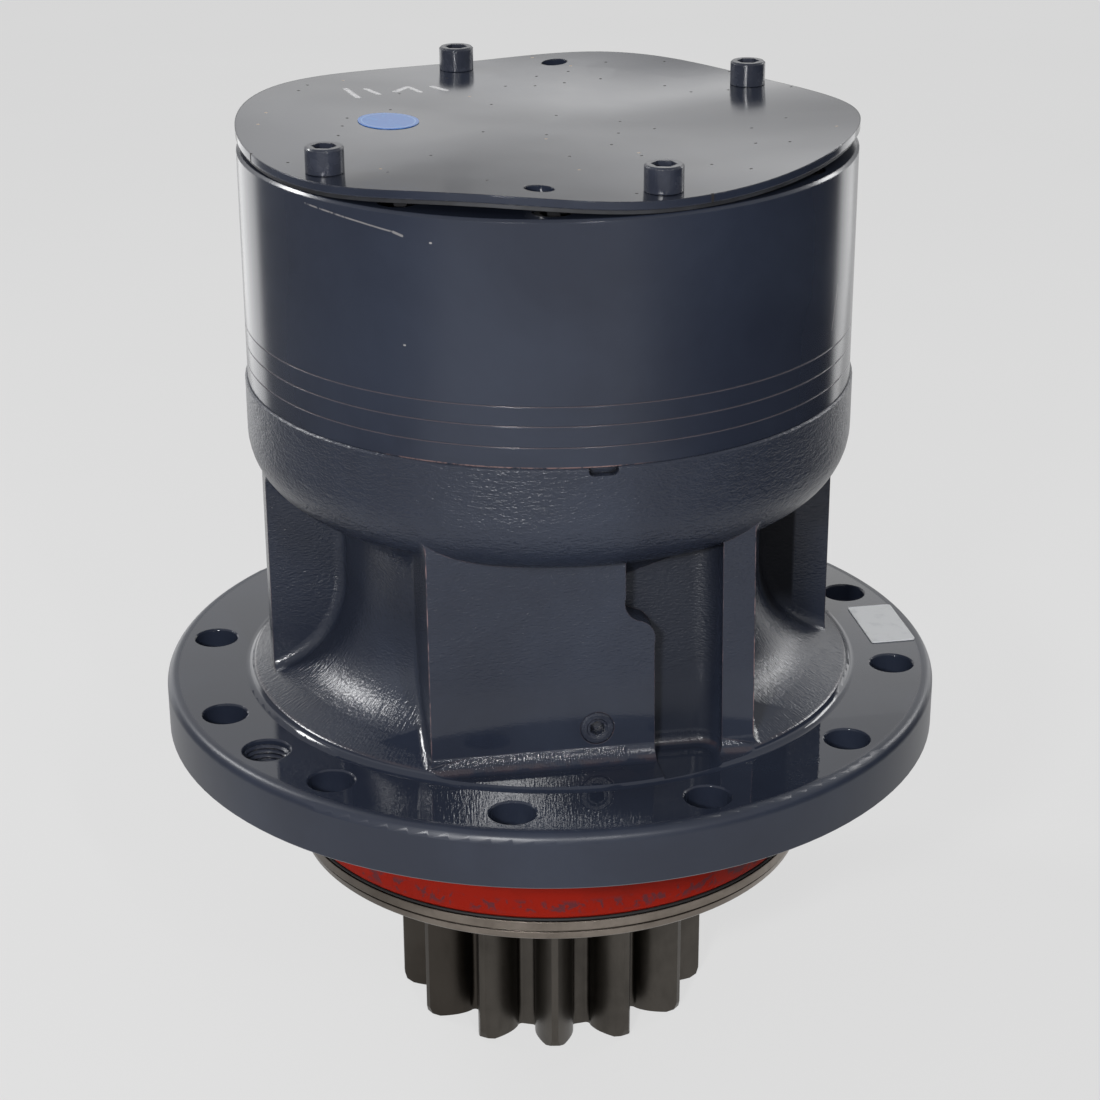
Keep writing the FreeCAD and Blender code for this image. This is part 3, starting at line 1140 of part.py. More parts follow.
def pin_lock_pins():
    z = CARRIER_2_Z + CARRIER_2_LOWER_PLATE / 2
    outer = CARRIER_2_RADIUS - 1
    pin = radial_pin(SPRING_PIN_RADIUS, outer - SPRING_PIN_LENGTH, outer, z)
    return Part.makeCompound([turned(pin, a) for a in even_angles(PLANETS_2)])


def planet_pins_2():
    low = CARRIER_2_Z + PIN_2_FLOOR + BORE_CLEARANCE
    high = CARRIER_2_TOP - 1
    r = PIN_2_RADIUS
    pin = lathe([(0, low), (r - 1, low), (r, low + 1), (r, high - 1), (r - 1, high), (0, high)])
    pins = [turned(moved(pin, ORBIT_2, 0), a) for a in even_angles(PLANETS_2)]
    return Part.makeCompound([cut_all(p, spring_pin_holes()) for p in pins])


def planet_washer(pin_radius, teeth, low):
    outer = GEAR_MODULE * (teeth / 2 - DEDENDUM) - 2.0
    return tube(pin_radius + BORE_CLEARANCE, outer, low, low + WASHER_THICKNESS)


def planet_washers_2():
    lower = planet_washer(PIN_2_RADIUS, PLANET_2_TEETH, CARRIER_2_FLOOR + SEAT_GAP)
    upper = planet_washer(PIN_2_RADIUS, PLANET_2_TEETH, PLANET_2_TOP + SEAT_GAP)
    angles = even_angles(PLANETS_2)
    return Part.makeCompound(around(lower, ORBIT_2, angles) + around(upper, ORBIT_2, angles))


def planet_gear(teeth, pin_radius, orbit, angle, low, high):
    """Planet at an angle round its sun, turned so that its teeth mesh there."""
    bore = pin_radius + 2 * NEEDLE_RADIUS + 2 * RUNNING_CLEARANCE
    gear = stage_gear(teeth, low, high).cut(disc(bore, low - 1, high + 1))
    mesh_angle = angle * (1.0 - RING_TEETH / teeth)
    return placed(turned(gear, mesh_angle), orbit, angle)


def needle_cage(pin_radius, orbit, angle, low, high):
    """Needle rollers in their cage, between a planet and its pin."""
    middle = pin_radius + NEEDLE_RADIUS + RUNNING_CLEARANCE
    ends = NEEDLE_CAGE_ENDS
    needle = disc(NEEDLE_RADIUS, low + ends, high - ends)
    needles = around(needle, middle, even_angles(NEEDLES))
    length = high - low - 2 * ends + 2 * CAGE_CLEARANCE
    slot_width = 2 * (NEEDLE_RADIUS + CAGE_CLEARANCE)
    cage = slotted_cage(middle, NEEDLE_CAGE_WALL, NEEDLES, slot_width, length, low + 0.5, high - 0.5)
    return Part.makeCompound([placed(s, orbit, angle) for s in needles + [cage]])


def sun_gear_2():
    """Long pinion: its upper teeth fill the splined bore of the first carrier."""
    gear = stage_gear(SUN_2_TEETH, SUN_2_Z, CARRIER_1_FLOOR)
    return gear.cut(disc(SUN_BORE, SUN_2_Z - 1, CARRIER_1_FLOOR + 1))


# First stage

def carrier_1():
    """Plate with three lobes, driven by the first planets and splined to the second sun."""
    body = disc(CARRIER_1_RADIUS, CARRIER_1_Z, CARRIER_1_FLOOR)
    scallop = disc(SCALLOP_RADIUS, CARRIER_1_Z - 1, CARRIER_1_FLOOR + 1)
    scallops = around(scallop, CARRIER_1_RADIUS + SCALLOP_OUTSIDE, even_angles(PLANETS_1, 180.0 / PLANETS_1))
    form = ToothForm(GEAR_MODULE, SUN_2_TEETH, -2 * SPLINE_CLEARANCE)
    root = form.pitch_radius - DEDENDUM * GEAR_MODULE + SPLINE_CLEARANCE
    tip = form.pitch_radius + ADDENDUM * GEAR_MODULE + SPLINE_CLEARANCE
    bore = form.prism(root, tip, CARRIER_1_Z - 1, CARRIER_1_FLOOR + 1)
    pin_hole = disc(PIN_1_RADIUS - PIN_1_STEP + PRESS_GAP, CARRIER_1_Z - 1, CARRIER_1_FLOOR + 1)
    return cut_all(body, scallops + [bore] + around(pin_hole, ORBIT_1, even_angles(PLANETS_1)))


def planet_pins_1():
    """Stepped pins, pressed into the carrier and grooved for a clip at the top."""
    r = PIN_1_RADIUS
    shank = r - PIN_1_STEP
    clip_high = PIN_CLIP_Z + PIN_CLIP_THICKNESS + 0.1
    pin = lathe([(0, CARRIER_1_Z), (shank, CARRIER_1_Z), (shank, CARRIER_1_FLOOR), (r, CARRIER_1_FLOOR),
                 (r, PIN_CLIP_Z), (r - 1.5, PIN_CLIP_Z), (r - 1.5, clip_high), (r, clip_high),
                 (r - 0.5, PIN_1_TOP), (0, PIN_1_TOP)])
    return Part.makeCompound(around(pin, ORBIT_1, even_angles(PLANETS_1)))


def planet_washers_1():
    lower = planet_washer(PIN_1_RADIUS, PLANET_1_TEETH, CARRIER_1_FLOOR + SEAT_GAP)
    upper = planet_washer(PIN_1_RADIUS, PLANET_1_TEETH, PLANET_1_TOP + SEAT_GAP)
    angles = even_angles(PLANETS_1)
    return Part.makeCompound(around(lower, ORBIT_1, angles) + around(upper, ORBIT_1, angles))


def planet_circlips():
    low = PIN_CLIP_Z + 0.05
    high = PIN_CLIP_Z + PIN_CLIP_THICKNESS
    clip = tube(PIN_1_RADIUS - 1.4, PIN_1_RADIUS + 3, low, high)
    clip = clip.cut(box((0, PIN_1_RADIUS + 5), (-4, 4), (low - 1, high + 1)))
    return Part.makeCompound(around(clip, ORBIT_1, even_angles(PLANETS_1)))


def sun_washer():
    inner, outer = SUN_WASHER_RADII
    return tube(inner, outer, SUN_WASHER_Z, SUN_WASHER_Z + WASHER_THICKNESS)


def sun_gear_1():
    top = SUN_1_Z + SUN_1_FACE
    gear = stage_gear(SUN_1_TEETH, SUN_1_Z, top)
    bore = spline(MOTOR_SPLINE_MODULE, MOTOR_SPLINE_TEETH, SPLINE_CLEARANCE, SUN_1_Z - 1, top + 1)
    return gear.cut(bore)


def fixed_parts():
    return {
        "casing": casing(), "ring_gear": ring_gear(), "ring_gear_bolts": ring_gear_bolts(),
        "dowel_pins": dowel_pins(), "joint_o_ring": joint_o_ring(), "cover_gasket": cover_gasket(),
        "cover_plate": cover_plate(), "cover_screws": cover_screws(),
        "inspection_sticker": inspection_sticker(), "blank_label": blank_label(),
        "drain_plug": drain_plug(), "seal_cover": seal_cover(), "seal_cover_screws": seal_cover_screws(),
        "spigot_o_ring": spigot_o_ring(), "shaft_seal": shaft_seal(),
        "lower_bearing_outer_race": lower_bearing_outer_race(),
        "upper_bearing_outer_race": upper_bearing_outer_race(),
        "upper_bearing_circlip": upper_bearing_circlip(),
    }


def turning_parts():
    return {
        "drive_shaft": drive_shaft(), "lower_bearing_inner_race": lower_bearing_inner_race(),
        "upper_bearing_inner_race": upper_bearing_inner_race(), "bearing_locknut": bearing_locknut(),
        "lock_washer": lock_washer(), "retaining_plate": retaining_plate(),
        "retaining_plate_screws": retaining_plate_screws(), "carrier_2": carrier_2(),
        "pin_lock_pins": pin_lock_pins(), "planet_pins_2": planet_pins_2(),
        "planet_washers_2": planet_washers_2(), "lower_bearing_rollers": lower_bearing_rollers(),
        "upper_bearing_rollers": upper_bearing_rollers(), "sun_gear_2": sun_gear_2(),
        "carrier_1": carrier_1(), "planet_pins_1": planet_pins_1(), "planet_washers_1": planet_washers_1(),
        "planet_circlips": planet_circlips(), "sun_washer": sun_washer(), "sun_gear_1": sun_gear_1(),
    }


def planets():
    parts = {}
    for letter, angle in zip("abc", even_angles(PLANETS_1)):
        parts["planet_gear_1" + letter] = planet_gear(PLANET_1_TEETH, PIN_1_RADIUS, ORBIT_1, angle,
                                                      PLANET_1_Z, PLANET_1_TOP)
        parts["needle_cage_1" + letter] = needle_cage(PIN_1_RADIUS, ORBIT_1, angle,
                                                      PLANET_1_Z, PLANET_1_TOP)
    for letter, angle in zip("abcd", even_angles(PLANETS_2)):
        parts["planet_gear_2" + letter] = planet_gear(PLANET_2_TEETH, PIN_2_RADIUS, ORBIT_2, angle,
                                                      PLANET_2_Z, PLANET_2_TOP)
        parts["needle_cage_2" + letter] = needle_cage(PIN_2_RADIUS, ORBIT_2, angle,
                                                      PLANET_2_Z, PLANET_2_TOP)
    return parts


def main():
    os.makedirs("parts", exist_ok=True)
    parts = {**fixed_parts(), **turning_parts(), **planets()}
    for name, shape in parts.items():
        shape.exportStep("parts/" + name + ".step")
        print(name, len(shape.Solids), "solids, valid" if shape.isValid() else "solids, NOT VALID",
              round(shape.Volume / 1000, 1), "cm3")


main()
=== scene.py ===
# %% [markdown]
# # A swing gearbox under studio light
#
# The object is the gearbox that turns the upper half of an excavator. Its solids come
# ready made, in metres, with +Z up and the origin in the middle of the flange's underside.
# This lesson gives them paint, steel and dirt, adds the few small forms that the solids
# leave out, and lights the whole as in a product photograph.

# %% Load the solids
import bpy
import json
import math
from mathutils import Matrix, Vector


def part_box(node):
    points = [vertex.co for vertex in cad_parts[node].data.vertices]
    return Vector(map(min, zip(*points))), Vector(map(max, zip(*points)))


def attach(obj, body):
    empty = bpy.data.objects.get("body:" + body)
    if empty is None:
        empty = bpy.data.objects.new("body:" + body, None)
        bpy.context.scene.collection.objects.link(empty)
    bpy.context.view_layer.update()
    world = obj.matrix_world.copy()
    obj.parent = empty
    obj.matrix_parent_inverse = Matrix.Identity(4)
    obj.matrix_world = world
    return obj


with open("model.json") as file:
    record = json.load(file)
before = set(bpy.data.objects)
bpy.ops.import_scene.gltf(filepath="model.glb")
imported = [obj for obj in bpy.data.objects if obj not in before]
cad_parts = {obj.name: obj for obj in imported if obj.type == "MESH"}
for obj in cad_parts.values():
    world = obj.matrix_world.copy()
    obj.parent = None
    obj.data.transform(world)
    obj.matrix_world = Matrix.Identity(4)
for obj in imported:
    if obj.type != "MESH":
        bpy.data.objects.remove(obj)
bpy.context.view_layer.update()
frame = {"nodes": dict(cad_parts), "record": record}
print("solids:", len(frame["nodes"]))

# %% [markdown]
# ## Sizes that the finishes follow
#
# A painted casting changes its skin where the machining starts: the flange is smooth, the
# bowl is rough, the spigot is primed and not painted. Those borders are heights and radii
# of the solids, so they are read from the solids' own boxes or named here once. A name with
# Z in it is a height above the flange's underside.

# %% Places on the object
casing_low, casing_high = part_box("casing")
ring_low, ring_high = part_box("ring_gear")
pinion_low, pinion_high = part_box("drive_shaft")
JOINT_Z = ring_low.z
RING_RADIUS = ring_high.x
FLANGE_TOP_Z = 0.033
LEDGE_TOP_Z = 0.0349
RAISED_CIRCLE = 0.182
RIM_START = 0.2262
print("flange across:", round(casing_high.x - casing_low.x, 3),
      "pinion across:", round(pinion_high.x - pinion_low.x, 3))
print("joint at:", round(JOINT_Z, 4), "ring top at:", round(ring_high.z, 4))

# %% [markdown]
# ## The camera
#
# The twelve flange holes stand at equal steps, and that fixed the lens and the place of the
# camera. It looks down by some 23 degrees from 1.6 metres away, with an 84 mm lens.
# The matrix is a turn to the heading, a tilt down and a slight roll, one after the other.

# %% Camera
CAMERA_PLACE = Vector((0.14161, -1.43271, 0.70474))
CAMERA_HEADING = math.radians(5.6317)
CAMERA_DOWN = math.radians(22.7741)
CAMERA_ROLL = -0.0043966
CAMERA_LENS = 83.838

camera_data = bpy.data.cameras.new("camera")
camera_data.lens = CAMERA_LENS
camera_data.sensor_width = 36.0
camera_data.clip_start = 0.05
camera_data.clip_end = 60.0
camera = bpy.data.objects.new("camera", camera_data)
bpy.context.scene.collection.objects.link(camera)
heading = Matrix.Rotation(CAMERA_HEADING, 4, "Z")
tilt = Matrix.Rotation(math.radians(90) - CAMERA_DOWN, 4, "X")
roll = Matrix.Rotation(CAMERA_ROLL, 4, "Z")
camera.matrix_world = Matrix.Translation(CAMERA_PLACE) @ heading @ tilt @ roll
bpy.context.scene.camera = camera
bpy.context.scene.view_settings.view_transform = "Standard"
print("camera:", round(CAMERA_PLACE.length, 2), "m away, lens", CAMERA_LENS, "mm")

# %% [markdown]
# ## Small helpers for node trees
#
# A material is a tree of nodes. These short helpers keep the trees readable: one adds a
# node and fills its inputs, and two do arithmetic, with numbers and with vectors. An input
# takes either a plain value or a wire from another node.

# %% Node helpers
def plug_in(tree, value, socket):
    if isinstance(value, bpy.types.NodeSocket):
        tree.links.new(value, socket)
    else:
        socket.default_value = value


def node(tree, kind, inputs=None, **settings):
    made = tree.nodes.new(kind)
    for name, value in settings.items():
        setattr(made, name, value)
    for name, value in (inputs or {}).items():
        plug_in(tree, value, made.inputs[name])
    return made


def calc(tree, operation, first, second=0.0, third=0.0, clamp=False):
    made = node(tree, "ShaderNodeMath", operation=operation, use_clamp=clamp)
    for socket, value in zip(made.inputs, (first, second, third)):
        plug_in(tree, value, socket)
    return made.outputs[0]


def vector_calc(tree, operation, *values, **scale):
    inputs = {**dict(enumerate(values)), **scale}
    made = node(tree, "ShaderNodeVectorMath", inputs, operation=operation)
    return made.outputs["Value" if operation in ("DOT_PRODUCT", "LENGTH") else "Vector"]


# %% [markdown]
# ## Masks and colours
#
# A mask is a number from 0 to 1 at every place. Multiplied masks leave what lies in all of
# them, and the strongest of several holds what lies in any. A fade makes a mask from a
# measure such as the height, and a band from its low end, its high end and the softness
# of both. Masks then raise or scale a value, or mix two colours.

# %% Mask helpers
def product(tree, *values):
    made = values[0]
    for value in values[1:]:
        made = calc(tree, "MULTIPLY", made, value)
    return made


def strongest(tree, *masks):
    made = masks[0]
    for mask in masks[1:]:
        made = calc(tree, "MAXIMUM", made, mask)
    return made


def raised(tree, base, mask, amount):
    """The base, plus the amount where the mask is 1."""
    return calc(tree, "MULTIPLY_ADD", mask, amount, base)


def scaled(tree, base, mask, share):
    """The base, times 1 + share where the mask is 1."""
    return product(tree, base, raised(tree, 1.0, mask, share))


def opposite(tree, mask):
    return calc(tree, "SUBTRACT", 1.0, mask)


def fade(tree, value, low, high):
    """0 below low, 1 above high, smooth between. With low above high it falls."""
    return node(tree, "ShaderNodeMapRange",
                {"Value": value, "From Min": low, "From Max": high},
                interpolation_type="SMOOTHSTEP").outputs["Result"]


def band(tree, value, low, high, soft):
    """1 between low and high, with soft borders."""
    rise = fade(tree, value, low - soft, low + soft)
    fall = fade(tree, value, high + soft, high - soft)
    return product(tree, rise, fall)


# %% Colour helpers
def colour(red, green, blue):
    """A colour as a picture editor gives it, 0 to 255, as Blender's linear colour."""
    linear = [(v / 255 / 12.92) if v <= 10 else ((v / 255 + 0.055) / 1.055) ** 2.4
              for v in (red, green, blue)]
    return (*linear, 1.0)


def blend(tree, mask, first, second):
    """Mixes two colours, the second where the mask is 1."""
    return node(tree, "ShaderNodeMix", {0: mask, 6: first, 7: second},
                data_type="RGBA").outputs[2]


def tinted(tree, base, mask, share, tint):
    """The base colour, with a share of the tint where the mask is 1."""
    return blend(tree, product(tree, mask, share), base, tint)


print("a middle grey in linear light:", round(colour(128, 128, 128)[0], 3))

# %% [markdown]
# ## Effects shared by several finishes
#
# Each effect is a node group, built once: the place round the axis, noise, specks, smudges,
# rounded edges, worn edges and turning marks. A group only gives values, masks or normals.
# The shader itself stays in each material.

# %% Group builder
FLOAT = "NodeSocketFloat"
VECTOR = "NodeSocketVector"


def start_group(name, inputs, outputs):
    tree = bpy.data.node_groups.new(name, "ShaderNodeTree")
    for label, kind, value in inputs:
        socket = tree.interface.new_socket(label, in_out="INPUT", socket_type=kind)
        if value is not None:
            socket.default_value = value
    for label, kind in outputs:
        tree.interface.new_socket(label, in_out="OUTPUT", socket_type=kind)
    source = tree.nodes.new("NodeGroupInput")
    result = tree.nodes.new("NodeGroupOutput")
    return tree, source.outputs, result.inputs


def use(tree, group, **values):
    made = tree.nodes.new("ShaderNodeGroup")
    made.node_tree = group
    for name, value in values.items():
        plug_in(tree, value, made.inputs[name])
    return made.outputs


def object_place(tree):
    return node(tree, "ShaderNodeTexCoord").outputs["Object"]


# %% [markdown]
# ## The place round the axis
#
# Most borders on a turned object are a radius or a height, so this group is asked first by
# nearly every finish. Object coordinates are used, because they stay on the metal when the
# gearbox turns.

# %% Place round the axis
def flat_length(tree, x, y):
    squared = calc(tree, "ADD", product(tree, x, x), product(tree, y, y))
    return calc(tree, "SQRT", squared)


place_group, given, result = start_group(
    "place", [], [("Radius", FLOAT), ("Height", FLOAT), ("Angle", FLOAT),
                  ("Position", VECTOR), ("X", FLOAT), ("Y", FLOAT)])
position = object_place(place_group)
parts = node(place_group, "ShaderNodeSeparateXYZ", {"Vector": position}).outputs
radius = flat_length(place_group, parts["X"], parts["Y"])
turn = calc(place_group, "DEGREES", calc(place_group, "ARCTAN2", parts["Y"], parts["X"]))
for label, value in (("Radius", radius), ("Height", parts["Z"]), ("Angle", turn),
                     ("Position", position), ("X", parts["X"]), ("Y", parts["Y"])):
    place_group.links.new(value, result[label])
print("place group:", len(place_group.nodes), "nodes")

# %% [markdown]
# ## Grain, specks and smudges
#
# Paint and steel are never even. Grain is fine noise that can be stretched along a tool's
# path. Smudges are soft clouds with a chosen border. Specks are single dots of dust or
# rust: the surface is divided into cells, and only a share of the cells holds a dot.

# %% Grain
grain_group, given, result = start_group(
    "grain", [("Scale", FLOAT, 100.0), ("Detail", FLOAT, 3.0),
              ("Stretch", VECTOR, (1.0, 1.0, 1.0))], [("Value", FLOAT)])
stretched = vector_calc(grain_group, "MULTIPLY", object_place(grain_group), given["Stretch"])
field = node(grain_group, "ShaderNodeTexNoise",
             {"Vector": stretched, "Scale": given["Scale"], "Detail": given["Detail"],
              "Roughness": 0.55})
grain_group.links.new(field.outputs["Fac"], result["Value"])


def grain(tree, scale, detail, **stretch):
    return use(tree, grain_group, Scale=scale, Detail=detail, **stretch)["Value"]


# %% Smudges
smudge_group, given, result = start_group(
    "smudges", [("Scale", FLOAT, 30.0), ("Low", FLOAT, 0.5), ("High", FLOAT, 0.7)],
    [("Mask", FLOAT)])
cloud = node(smudge_group, "ShaderNodeTexNoise",
             {"Vector": object_place(smudge_group), "Scale": given["Scale"], "Detail": 5.0,
              "Roughness": 0.6, "Distortion": 0.4})
smudge_group.links.new(fade(smudge_group, cloud.outputs["Fac"], given["Low"], given["High"]),
                       result["Mask"])


def smudges(tree, scale, low, high):
    return use(tree, smudge_group, Scale=scale, Low=low, High=high)["Mask"]


# %% Specks
specks_group, given, result = start_group(
    "specks", [("Point", VECTOR, None), ("Scale", FLOAT, 100.0), ("Size", FLOAT, 0.1),
               ("Share", FLOAT, 0.3)], [("Mask", FLOAT)])
cells = node(specks_group, "ShaderNodeTexVoronoi",
             {"Vector": given["Point"], "Scale": given["Scale"]},
             feature="F1", voronoi_dimensions="2D").outputs
chance = node(specks_group, "ShaderNodeSeparateColor", {"Color": cells["Color"]})
kept = calc(specks_group, "LESS_THAN", chance.outputs["Red"], given["Share"])
inner = product(specks_group, given["Size"], 0.6)
dot = node(specks_group, "ShaderNodeMapRange",
           {"Value": cells["Distance"], "From Min": given["Size"], "From Max": inner})
specks_group.links.new(product(specks_group, kept, dot.outputs["Result"]), result["Mask"])
print("noise groups:", [group.name for group in (grain_group, smudge_group, specks_group)])

# %% [markdown]
# ## Edges and hollow corners
#
# A sharp edge catches a thin line of light, and paint wears there first. The Bevel node
# gives the normal of a rounded edge, and where that turns away from the true normal there
# is an edge. Ambient occlusion finds hollow corners, where the finishes paint shade and
# keep wear out. Both work on the CAD solids as they are, with no extra faces.

# %% Rounded and worn edges
edge_group, given, result = start_group(
    "edges", [("Radius", FLOAT, 0.001), ("Patchiness", FLOAT, 60.0), ("Whole", FLOAT, 0.0)],
    [("Normal", VECTOR), ("Wear", FLOAT)])
rounded = node(edge_group, "ShaderNodeBevel", {"Radius": given["Radius"]},
               samples=3).outputs["Normal"]
true_normal = node(edge_group, "ShaderNodeNewGeometry").outputs["Normal"]
bent = fade(edge_group, vector_calc(edge_group, "DOT_PRODUCT", rounded, true_normal),
            0.985, 0.86)
patches = node(edge_group, "ShaderNodeTexNoise",
               {"Vector": object_place(edge_group), "Scale": given["Patchiness"],
                "Detail": 4.0, "Roughness": 0.65})
patchy = fade(edge_group, patches.outputs["Fac"], 0.52, 0.66)
broken = calc(edge_group, "ADD", patchy, given["Whole"], clamp=True)
edge_group.links.new(rounded, result["Normal"])
edge_group.links.new(product(edge_group, bent, broken), result["Wear"])

# %% Mask of hollow corners, for painted shade
crevice_group, given, result = start_group(
    "crevices", [("Reach", FLOAT, 0.006)], [("Mask", FLOAT)])
openness = node(crevice_group, "ShaderNodeAmbientOcclusion", {"Distance": given["Reach"]},
                samples=4, only_local=True)
crevice_group.links.new(fade(crevice_group, openness.outputs["AO"], 0.78, 0.3),
                        result["Mask"])
print("edge groups:", edge_group.name, "and", crevice_group.name)

# %% [markdown]
# ## Strokes
#
# A scratch, a chalk line or a parting line is a stroke between two points. The group walks
# from the start along the line to the point nearest to a place, and the rest of the way to
# that place, against the stroke's width, is the mask. A bent line is several strokes.

# %% One stroke between two points
stroke_group, given, result = start_group(
    "stroke", [("Point", VECTOR, None), ("Start", VECTOR, None), ("End", VECTOR, None),
               ("Width", FLOAT, 0.001)], [("Mask", FLOAT)])
from_start = vector_calc(stroke_group, "SUBTRACT", given["Point"], given["Start"])
whole_way = vector_calc(stroke_group, "SUBTRACT", given["End"], given["Start"])
length_squared = vector_calc(stroke_group, "DOT_PRODUCT", whole_way, whole_way)
walked = vector_calc(stroke_group, "DOT_PRODUCT", from_start, whole_way)
share = calc(stroke_group, "DIVIDE", walked, length_squared, clamp=True)
nearest = vector_calc(stroke_group, "SCALE", whole_way, Scale=share)
aside = vector_calc(stroke_group, "SUBTRACT", from_start, nearest)
off_line = vector_calc(stroke_group, "LENGTH", aside)
narrow = product(stroke_group, given["Width"], 0.4)
stroke_group.links.new(fade(stroke_group, off_line, given["Width"], narrow), result["Mask"])


# %% Several strokes
def bent_line(places):
    """The strokes of a bent line, from each place to the next."""
    return list(zip(places, places[1:]))


def strokes(tree, point, lines, width):
    """The strongest of several strokes, each given by its two ends."""
    mask = 0.0
    for start, end in lines:
        one = use(tree, stroke_group, Point=point, Start=(*start, 0.0), End=(*end, 0.0),
                  Width=width)
        mask = strongest(tree, mask, one["Mask"])
    return mask


print("stroke group:", len(stroke_group.nodes), "nodes")

# %% [markdown]
# ## Turning marks
#
# A lathe leaves fine rings. Their height is a noise along one line, read along radius and
# height together, so that it runs over faces and walls alike. A slow drift keeps the rings
# from being too perfect.

# %% Turning marks
turning_group, given, result = start_group(
    "turning", [("Pitch", FLOAT, 0.0006), ("Waver", FLOAT, 0.4)], [("Height", FLOAT)])
here = use(turning_group, place_group)
reach = calc(turning_group, "ADD", here["Radius"], here["Height"])
waves = calc(turning_group, "DIVIDE", reach, given["Pitch"])
drift = node(turning_group, "ShaderNodeTexNoise",
             {"Vector": here["Position"], "Scale": 14.0, "Detail": 2.0})
waved = raised(turning_group, waves, drift.outputs["Fac"], given["Waver"])
lines = node(turning_group, "ShaderNodeTexNoise", {"W": waved, "Scale": 1.0, "Detail": 2.0},
             noise_dimensions="1D")
turning_group.links.new(lines.outputs["Fac"], result["Height"])
print("all groups:", sorted(group.name for group in bpy.data.node_groups))

# %% [markdown]
# ## Starting a material
#
# Every finish begins in the same way: a fresh tree with one Principled shader. The numbers
# that are the same all over the surface go straight onto the shader's own sockets, since
# they need no nodes. Paint bends light a little less than window glass.

# %% Material starter
PAINT_IOR = 1.45


def finish(name, **plain):
    material = bpy.data.materials.new(name)
    material.use_nodes = True
    tree = material.node_tree
    tree.nodes.clear()
    shader = tree.nodes.new("ShaderNodeBsdfPrincipled")
    node(tree, "ShaderNodeOutputMaterial", {"Surface": shader.outputs["BSDF"]})
    for label, value in plain.items():
        shader.inputs[label.replace("_", " ")].default_value = value
    return material, tree, shader


def bump(tree, height, distance, **normal):
    return node(tree, "ShaderNodeBump", {"Height": height, "Distance": distance,
                                         "Strength": 1.0, **normal}).outputs["Normal"]


def connect(tree, shader, **sockets):
    for label, value in sockets.items():
        tree.links.new(value, shader.inputs[label.replace("_", " ")])


# %% [markdown]
# ## Slate paint on the casting
#
# The casting is sprayed in a glossy dark slate. The machined flange is smooth under it,
# while bowl, waist and pads show the pebbled skin of the sand mould. Below the flange the
# paint stops and orange-red primer shows, with smears of hand and rag. One material can
# hold all of that, because the borders are known heights and radii.

# %% Casting paint
SLATE = colour(36, 41, 54)
SLATE_LIGHT = colour(44, 50, 64)
PAINT_ENDS = (-0.0002, -0.0012)
SKIN_HEIGHTS = (FLANGE_TOP_Z + 0.0015, FLANGE_TOP_Z + 0.0045)
SKIN_RADII = (RAISED_CIRCLE + 0.0004, RAISED_CIRCLE - 0.0012)

casting_paint, tree, shader = finish("casting_paint", IOR=PAINT_IOR)
here = use(tree, place_group)
below = fade(tree, here["Height"], *PAINT_ENDS)
above_flange = fade(tree, here["Height"], *SKIN_HEIGHTS)
inside_circle = fade(tree, here["Radius"], *SKIN_RADII)
as_cast = product(tree, above_flange, inside_circle)
clouds = smudges(tree, 9.0, 0.35, 0.75)
painted = blend(tree, clouds, SLATE, SLATE_LIGHT)
print("cast skin starts at:", SKIN_HEIGHTS[0], "inside radius", RAISED_CIRCLE)

# %% [markdown]
# ### Thin paint on the edges
#
# Wet paint draws back from an edge, and slings and hands rub it there, mostly on the pads.
# Hollow corners are left out, because nothing rubs them. The rounding is smaller at the low
# step round the flare and ends at the flange's rim, where it would break the mirror image.

# %% Worn edges of the casting
CHIP = colour(150, 122, 122)
ROUNDING = 0.0009
LESS_AT_LEDGE = 0.0006
WORN_EVERYWHERE = 0.03
WORN_ON_PADS = 0.5
LEDGE_HEIGHTS = (0.0325, 0.037, 0.0005)
LEDGE_RADII = (0.17, 0.195, 0.001)
PAD_HEIGHTS = (0.04, 0.17, 0.004)

by_ledge = product(tree, band(tree, here["Height"], *LEDGE_HEIGHTS),
                   band(tree, here["Radius"], *LEDGE_RADII))
by_rim = fade(tree, here["Radius"], RIM_START, RIM_START + 0.0006)
rounding = product(tree, raised(tree, ROUNDING, by_ledge, -LESS_AT_LEDGE),
                   opposite(tree, by_rim))
edges = use(tree, edge_group, Radius=rounding, Patchiness=70.0, Whole=0.35)
crevices = use(tree, crevice_group, Reach=0.0055)["Mask"]
open_edge = product(tree, edges["Wear"], fade(tree, crevices, 0.25, 0.05))
on_pads = band(tree, here["Height"], *PAD_HEIGHTS)
worn = product(tree, open_edge, raised(tree, WORN_EVERYWHERE, on_pads, WORN_ON_PADS))
painted = blend(tree, worn, painted, CHIP)
print("edges rounded by:", ROUNDING, "m, by the ledge less by", LESS_AT_LEDGE)

# %% Rust dust on the ledge
RUST_DUST = colour(78, 62, 62)
DUST_HEIGHTS = (LEDGE_TOP_Z + 0.0003, LEDGE_TOP_Z + 0.0024, 0.0006)

dust = product(tree, band(tree, here["Height"], *DUST_HEIGHTS), inside_circle,
               smudges(tree, 70.0, 0.35, 0.6))
painted = tinted(tree, painted, dust, 0.35, RUST_DUST)
print("dust lies at:", DUST_HEIGHTS[:2])

# %% [markdown]
# ### The front pad's own directions
#
# The pad is a flat face that leans back a little, and it looks 15 degrees away from -Y,
# towards +X. The dot product of a place with the pad's two directions says how far outward
# and how far sideways it lies, so marks on the pad are measured in the pad's own plane.

# %% Front pad
PAD_NORMAL = math.radians(-75.0)
PAD_OUTWARD = (math.cos(PAD_NORMAL), math.sin(PAD_NORMAL), 0.0)
PAD_SIDEWAYS = (-math.sin(PAD_NORMAL), math.cos(PAD_NORMAL), 0.0)
PAD_TOP_Z = 0.165
PAD_FACE_AT_TOP = 0.146
PAD_LEAN = 0.058
PAD_LEFT = -0.0925
PAD_RIGHT = 0.092

